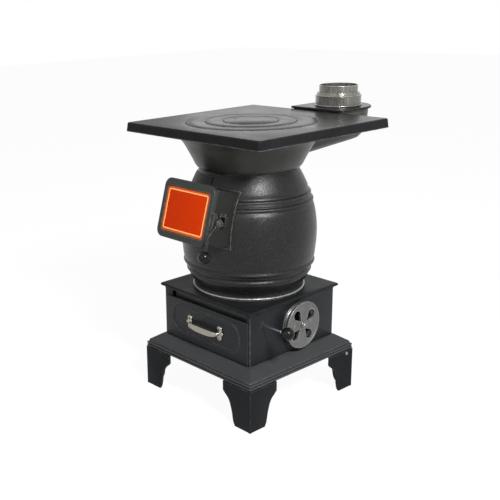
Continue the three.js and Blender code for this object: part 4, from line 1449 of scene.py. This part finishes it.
    def lever(self) -> Mesh:
        """Makes the latch lever: its hub, the nose under the keeper and the arm down to its ball.

        Returns:
            The lever with its boss.
        """
        depth, low, hub = self.latch_depth, self.latch_z, self.latch_hub
        arm = flowing([
            (depth + hub * 0.8, low - 6), (depth + 1.5, low - 13.4), (depth - 7, low - 20.6), (8, -36),
            (-2.0, -48), (-2.2, -79),
        ], 5)
        back = flowing([
            (-7.8, -79), (-8.6, -48), (-1, -33), (depth - 17, low - 17), (depth - 11.6, low - 9),
            (depth - hub * 0.98, low - 2),
        ], 5)
        outline = [(depth + hub * 0.85, low + 2.2), (47, low + 2.2), (47, low - 5), *arm, *back]
        outline += arc((depth, low), hub, 180, 36, 24)[1:]
        outside = self.latch_x + self.latch_thick
        lever = slab(outline, (self.latch_x, outside), Facing.YZ, edge=1.1)
        place = Matrix.Translation((outside, depth, low)) @ ALONG_X
        return merged(lever, turned([(0, -1), (7.4, -1), (7.4, 1.2, 0.6), (0, 1.2)], 40, place=place))

    def pivot(self) -> Mesh:
        """Makes the latch's pivot bolt with a hexagon head.

        Returns:
            The bolt.
        """
        depth, low = self.latch_depth, self.latch_z
        face = self.latch_x + self.latch_thick + 1.2
        head = bar((face, depth, low), (face + 3.8, depth, low), 6.4, 6, 0.6)
        return merged(bar((self.door_x[1] - 0.6, depth, low), (face + 1, depth, low), 3.0), head)

    def keeper(self) -> Mesh:
        """Makes the keeper: a plate on the chute's side with a lug over the latch's nose.

        Returns:
            The keeper with its rivets.
        """
        face = self.chute_half + 0.3
        plate = block((face, face + 3), (32, 54), (-4.6, 15), 0.8)
        nose = flowing([(37.6, -2.6), (39.8, -4.0), (43, -4.6)])
        lug = slab([(37, -1.1), *nose, (46, -4.6), (46, 9), (37, 9)], (face + 2, 104), Facing.YZ, edge=1.0)
        head = [(0, -1), (2.4, -1), (2.4, 0.3, 0.2), (1.4, 1.3, 0.6), (0, 1.4)]
        seats = [Matrix.Translation((face + 3, y, 11.6)) for y in (35, 50.6)]
        rivets = [turned(head, 24, place=seat @ ALONG_X) for seat in seats]
        return merged(plate, lug, *rivets)


@dataclass
class Top:
    """The smoke bowl, the flue and the cooking plate with its rings."""

    bowl_bottom: float = 621.2
    bowl_top: float = 727.7
    bowl_rim: float = 201.0
    bowl_mouth: float = 102.0
    flue_y: float = 360.0
    duct: float = 83.5
    duct_top: float = 736.7
    duct_cover: float = 91.0
    heel: float = 636.0
    toe: float = 654.0
    trough_shape: tuple[Pair, ...] = ((0.75, 0.985), (0.4, 0.91), (0.15, 0.81), (0.05, 0.72), (0.0, 0.6))
    half: float = 240.0
    centre_y: float = 25.0
    top: float = 737.0
    rim: float = 24.0
    thick: float = 9.0
    seat: float = 732.5
    ledge: float = 7.5
    play: float = 1.5
    rise: float = 0.8
    ring_y: float = 7.0
    ring_radii: Triple = (169.0, 118.0, 72.0)

    @property
    def flue(self) -> Matrix:
        """The placement of what stands round the flue."""
        return Matrix.Translation((0, self.flue_y, 0))

    @property
    def rings(self) -> Matrix:
        """The placement of the rings and the lid."""
        return Matrix.Translation((0, self.ring_y, 0))

    def build(self, bench: Bench) -> None:
        """Builds the bowl, the flue, the plate and the rings.

        Args:
            bench: The bench that puts pieces in the scene.
        """
        bench.show("smoke_bowl_casting", self.bowl(), BOWL_IRON, "stove", "smoke_bowl", angle=40)
        bench.show("duct_cover_casting", self.cover(), GREY_IRON, "stove", "duct_cover")
        bench.show("flue_lower_band", self.collar(), TINNED_STEEL, "stove", "flue_collar")
        bench.show("flue_upper_band", self.spigot(), TINNED_STEEL, "stove", "flue_spigot")
        bench.show("cooking_plate_casting", self.plate(), GREY_IRON, "stove", "cooking_plate")
        outer, middle, lid = self.ring_radii
        bench.show("outer_ring_casting", self.ring(outer, middle, 1), GREY_IRON, "outer_ring", "outer_ring")
        bench.show("inner_ring_casting", self.ring(middle, lid, 2), GREY_IRON, "inner_ring", "inner_ring")
        bench.show("centre_lid_casting", self.lid(lid), GREY_IRON, "centre_lid", "centre_lid")

    def trough(self, radius: float, inset: float, start: float, top: float) -> Mesh:
        """Makes the volume of the smoke duct: its sides draw in towards a sloping floor.

        Args:
            radius: Half its width at the top, and the radius of its round end.
            inset: How far the floor is raised.
            start: Where it starts, from front to back.
            top: Its level top.

        Returns:
            The volume.
        """
        tongue = [(-radius, start), (radius, start), *arc((0, self.flue_y), radius, 0, 180, 40)]
        bm = outlined(tongue)
        level = bm.faces[:]
        width, depth = 1.0, 1.0
        for share, next_width in self.trough_shape:
            verts, level = grown_end(bm, level, depth == 1.0)
            scale = next_width / width
            bmesh.ops.translate(bm, vec=(0, 0, share - depth), verts=verts)
            bmesh.ops.scale(bm, vec=(scale, 1, 1), verts=verts)
            round_end = [vert for vert in verts if vert.co.y > self.flue_y]
            bmesh.ops.scale(bm, vec=(1, scale, 1), verts=round_end, space=self.flue.inverted())
            width, depth = next_width, share
        for vert in bm.verts:
            floor = self.heel + (vert.co.y - 150) / (self.flue_y - 110) * (self.toe - self.heel) + inset
            vert.co.z = floor + (vert.co.z + 1.0) * (top - floor)
        return tidy(bm)

    def bowl(self) -> Mesh:
        """Makes the smoke bowl with the trough that runs out of its side.

        Returns:
            The bowl.
        """
        low, rim, top = self.bowl_bottom, self.bowl_rim, self.bowl_top
        curve = flowing([
            (130.4, low + 0.9), (135.2, low + 4.4), (140, low + 11), (145.5, low + 22), (156, low + 42),
            (169, low + 65), (181.4, low + 81), (195, low + 98.5),
        ])
        outside = turned([(0, low), (128.4, low, 0.6), *curve, (rim, top), (0, top)], 160)
        inside = turned([
            (0, low + 5), (126, low + 5), (134, low + 11), (150, low + 42), (163, low + 65),
            (rim - 12, top - 8), (rim - 6, top + 1), (0, top + 1),
        ], 96)
        above = block((-100, 100), (0, self.centre_y + self.half + 0.3), (top, self.duct_top + 5))
        mouth = upright((0, 0), (low - 1, low + 6), self.bowl_mouth, 96)
        inner = self.trough(self.duct - 5, 5, 61, self.duct_top + 1)
        outer = without(self.trough(self.duct, 0, 60, self.duct_top), above)
        rooms = [(Cut.AWAY, room) for room in (inside, mouth, inner)]
        return combined(outside, [(Cut.JOIN, outer), *rooms])

    def cover(self) -> Mesh:
        """Makes the duct's cover with the upstand inside the flue.

        Returns:
            The cover.
        """
        half, centre = self.duct_cover, (0, self.flue_y)
        tongue = [(-half, 265.4), (half, 265.4), *arc(centre, half, 0, 180, 48)[1:-1]]
        lid = slab(tongue, (737.1, 743.5), edge=2.2, edge_sides=4)
        upstand = upright(centre, (741.5, 753.5), 57, 96, 0.8)
        return combined(lid, [(Cut.JOIN, upstand), (Cut.AWAY, upright(centre, (736, 756), 52, 96))])

    def collar(self) -> Mesh:
        """Makes the lower flue band with a rolled foot, and two beads at its shoulder.

        Returns:
            The lower band.
        """
        return turned([
            (61, 743.8), (64.2, 743.8, 0.4), *arc((63.5, 745.8), 1.5, -60, 80, 6), (63.0, 747.6),
            (63.0, 770.6, 0.6), *arc((62.6, 772.4), 1.3, -60, 100, 6), (61.6, 774.0, 0.3), (58.4, 776.6, 0.8),
            *arc((56.9, 779.6), 1.7, -40, 100, 6), (53.7, 781.5), (53.7, 777.5), (61, 770.5),
        ], 144, True, self.flue)

    def spigot(self) -> Mesh:
        """Makes the upper flue band, with a rolled lip."""
        lip = [*arc((52.5, 799.4), 1.5, -60, 150, 8), (51.2, 799.0)]
        return turned([(51.2, 767.5), (53.2, 767.5), (53.2, 797.6, 0.4), *lip], 144, True, self.flue)

    def plate(self) -> Mesh:
        """Makes the square plate: a deep rim, a rounded edge and a stepped hole.

        Returns:
            The plate.
        """
        half, top, under = self.half, self.top, self.top - self.rim
        edge = arc((half - 5.6, top - 3.6), 3.6, 0, 90, 5)
        outline = [(half - 1.2, under), (half, under + 1.2), (half - 0.3, under + 3), *edge]
        pocket = (7 - half, half - 7)
        depth = (under - 1, top - self.thick)
        gap = block((-self.duct - 3, self.duct + 3), (half - 8, half + 1), depth)
        outer = self.ring_radii[0]
        inner = outer - self.ledge
        well = turned([
            (0, top - 12), (inner, top - 12), (inner, self.seat), (outer, self.seat), (outer, top - 1.2),
            (outer + 1.3, top), (outer + 1.3, top + 2), (0, top + 2),
        ], 160, place=self.rings)
        shift = Matrix.Translation((0, self.centre_y, 0))
        room = block(pocket, pocket, depth)
        return without(*(moved(bm, shift) for bm in (moulding(outline, 6, 5), room, gap)), well)

    def ring(self, outer: float, inner: float, steps: int) -> Mesh:
        """Makes a cooking ring.

        Args:
            outer: The radius of the hole it lies in.
            inner: The radius of the hole that it leaves.
            steps: Its number, counted from the plate inwards.

        Returns:
            The ring.
        """
        top, under, seat = self.top + steps * self.rise, self.top - self.thick, self.seat + 0.3
        reach, step, hole = outer - self.play, outer - self.ledge, inner - self.ledge
        return turned([
            (hole, under), (step - 0.7, under), (step - 0.7, seat), (reach, seat), (reach, top - 1.1),
            (reach - 0.5, top - 0.35), (reach - 1.4, top), (inner + 1.4, top), (inner + 0.5, top - 0.35),
            (inner, top - 1.1), (inner, self.seat), (hole, self.seat),
        ], 160, True, self.rings)

    def lid(self, outer: float) -> Mesh:
        """Makes the centre lid with the notch for its lifting hook.

        Args:
            outer: The radius of the hole it lies in.

        Returns:
            The lid.
        """
        top, under, seat = self.top + 3 * self.rise, self.top - self.thick, self.seat + 0.3
        reach, step = outer - self.play, outer - self.ledge
        disc = turned([
            (0, under), (step, under), (step, seat), (reach, seat), (reach, top - 1.2),
            (reach - 0.5, top - 0.4), (reach - 1.6, top), (0, top),
        ])
        notch = slab(rectangle((-65, -49), (-3.5, 3.5)), (top - 4, top + 1), corner=3.4)
        return moved(without(disc, notch), self.rings)


# ---- Studio --------------------------------------------------------------------------------------


@dataclass
class Studio:
    """The floor, the soft lamps and the camera."""

    camera_place: Triple = (1492.7, -1544.1, 1039.7)
    camera_turn: float = 50.804
    camera_pitch: float = 74.146
    camera_roll: float = -1.711
    lens: float = 59.86
    shift: Pair = (0.1926, -0.0248)
    aim: Triple = (0.0, 0.0, 0.4)

    def build(self, bench: Bench) -> None:
        """Builds the studio round the stove.

        Args:
            bench: The bench that knows the stove's place.
        """
        self._camera(bench)
        self._floor()
        self._world()
        self._lamp("key", (2.1, -0.9, 2.15), (0.5, 0.5), 125.0)
        self._lamp("front", (0.3, -2.8, 1.5), (2.0, 1.4), 12.0)
        self._lamp("back", (-1.8, 2.3, 1.40), (1.6, 0.8), 4.0)

    def _camera(self, bench: Bench) -> None:
        """Puts the camera where the photograph was taken from.

        Args:
            bench: The bench that knows the stove's place.
        """
        data = bpy.data.cameras.new("camera")
        data.sensor_width = 36.0
        data.lens = self.lens
        data.shift_x, data.shift_y = self.shift
        data.clip_start = 0.05
        camera = placed(data, "camera")
        place = Matrix.Translation(bench.axis + Vector(self.camera_place) * MM)
        camera.matrix_world = (
            place @ spun(self.camera_turn, "Z") @ spun(self.camera_pitch, "X") @ spun(self.camera_roll, "Z"))
        bpy.context.scene.camera = camera

    def _floor(self) -> None:
        """Lays a white floor that keeps a faint shadow."""
        bm = bmesh.new()
        bmesh.ops.create_grid(bm, x_segments=1, y_segments=1, size=12.0)
        bmesh.ops.translate(bm, vec=(0, 0, -0.0005), verts=bm.verts)
        data = stored(bm, "floor")
        material = bpy.data.materials.new("floor")
        material.use_nodes = True
        tree = material.node_tree
        tree.nodes.clear()
        paper = add(tree, "BsdfDiffuse", {"Color": (0.80, 0.80, 0.80, 1)})
        glow = add(tree, "Emission", {"Strength": 1.05})
        self._shown(tree, "OutputMaterial", paper, add(tree, "MixShader", {"Fac": 0.9, 1: paper, 2: glow}))
        data.materials.append(material)
        placed(data, "floor")

    def _world(self) -> None:
        """Gives the room an even light, and white where it is seen."""
        world = bpy.data.worlds.new("room")
        bpy.context.scene.world = world
        world.use_nodes = True
        tree = world.node_tree
        tree.nodes.clear()
        air, white = (add(tree, "Background", {"Color": WHITE, "Strength": power}) for power in (0.32, 1.0))
        self._shown(tree, "OutputWorld", air, white)

    @staticmethod
    def _shown(tree: Tree, output: str, lit: Socket, seen: Socket) -> None:
        """Gives a tree one surface that lights, and another for the rays that show the background.

        Those rays are the camera's, and those off metal and through glass.

        Args:
            tree: The node tree.
            output: The kind of its output node.
            lit: The surface for all other rays.
            seen: The surface for those rays.
        """
        rays = [add(tree, "LightPath", {}, f"Is {kind} Ray") for kind in ("Camera", "Glossy", "Transmission")]
        any_ray = rays[0]
        for ray in rays[1:]:
            any_ray = add(tree, "Math", {0: any_ray, 1: ray}, operation="MAXIMUM")
        add(tree, output, {"Surface": add(tree, "MixShader", {"Fac": any_ray, 1: lit, 2: seen})})

    def _lamp(self, name: str, place: Triple, size: Pair, power: float) -> None:
        """Hangs a soft lamp that points at the stove.

        Args:
            name: The lamp's name.
            place: Its place in metres.
            size: Its width and height.
            power: Its power in watts.
        """
        data = bpy.data.lights.new(name, "AREA")
        data.shape = "RECTANGLE"
        data.size, data.size_y = size
        data.energy = power
        lamp = placed(data, name)
        lamp.location = place
        lamp.visible_camera = False
        lamp.rotation_euler = (Vector(self.aim) - Vector(place)).to_track_quat("-Z", "Y").to_euler()


def main() -> None:
    """Builds the stove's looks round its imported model."""
    logging.basicConfig(level=logging.INFO, format="%(name)s: %(message)s")
    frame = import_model()
    bpy.context.scene.view_settings.view_transform = "Standard"
    bench = Bench(frame)
    for assembly in (Studio(), Stand(), AshBox(), Controls(), FireBarrel(), Top()):
        assembly.build(bench)
        LOG.info("%s done", type(assembly).__name__)
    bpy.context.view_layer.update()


if __name__ == "__main__":
    main()
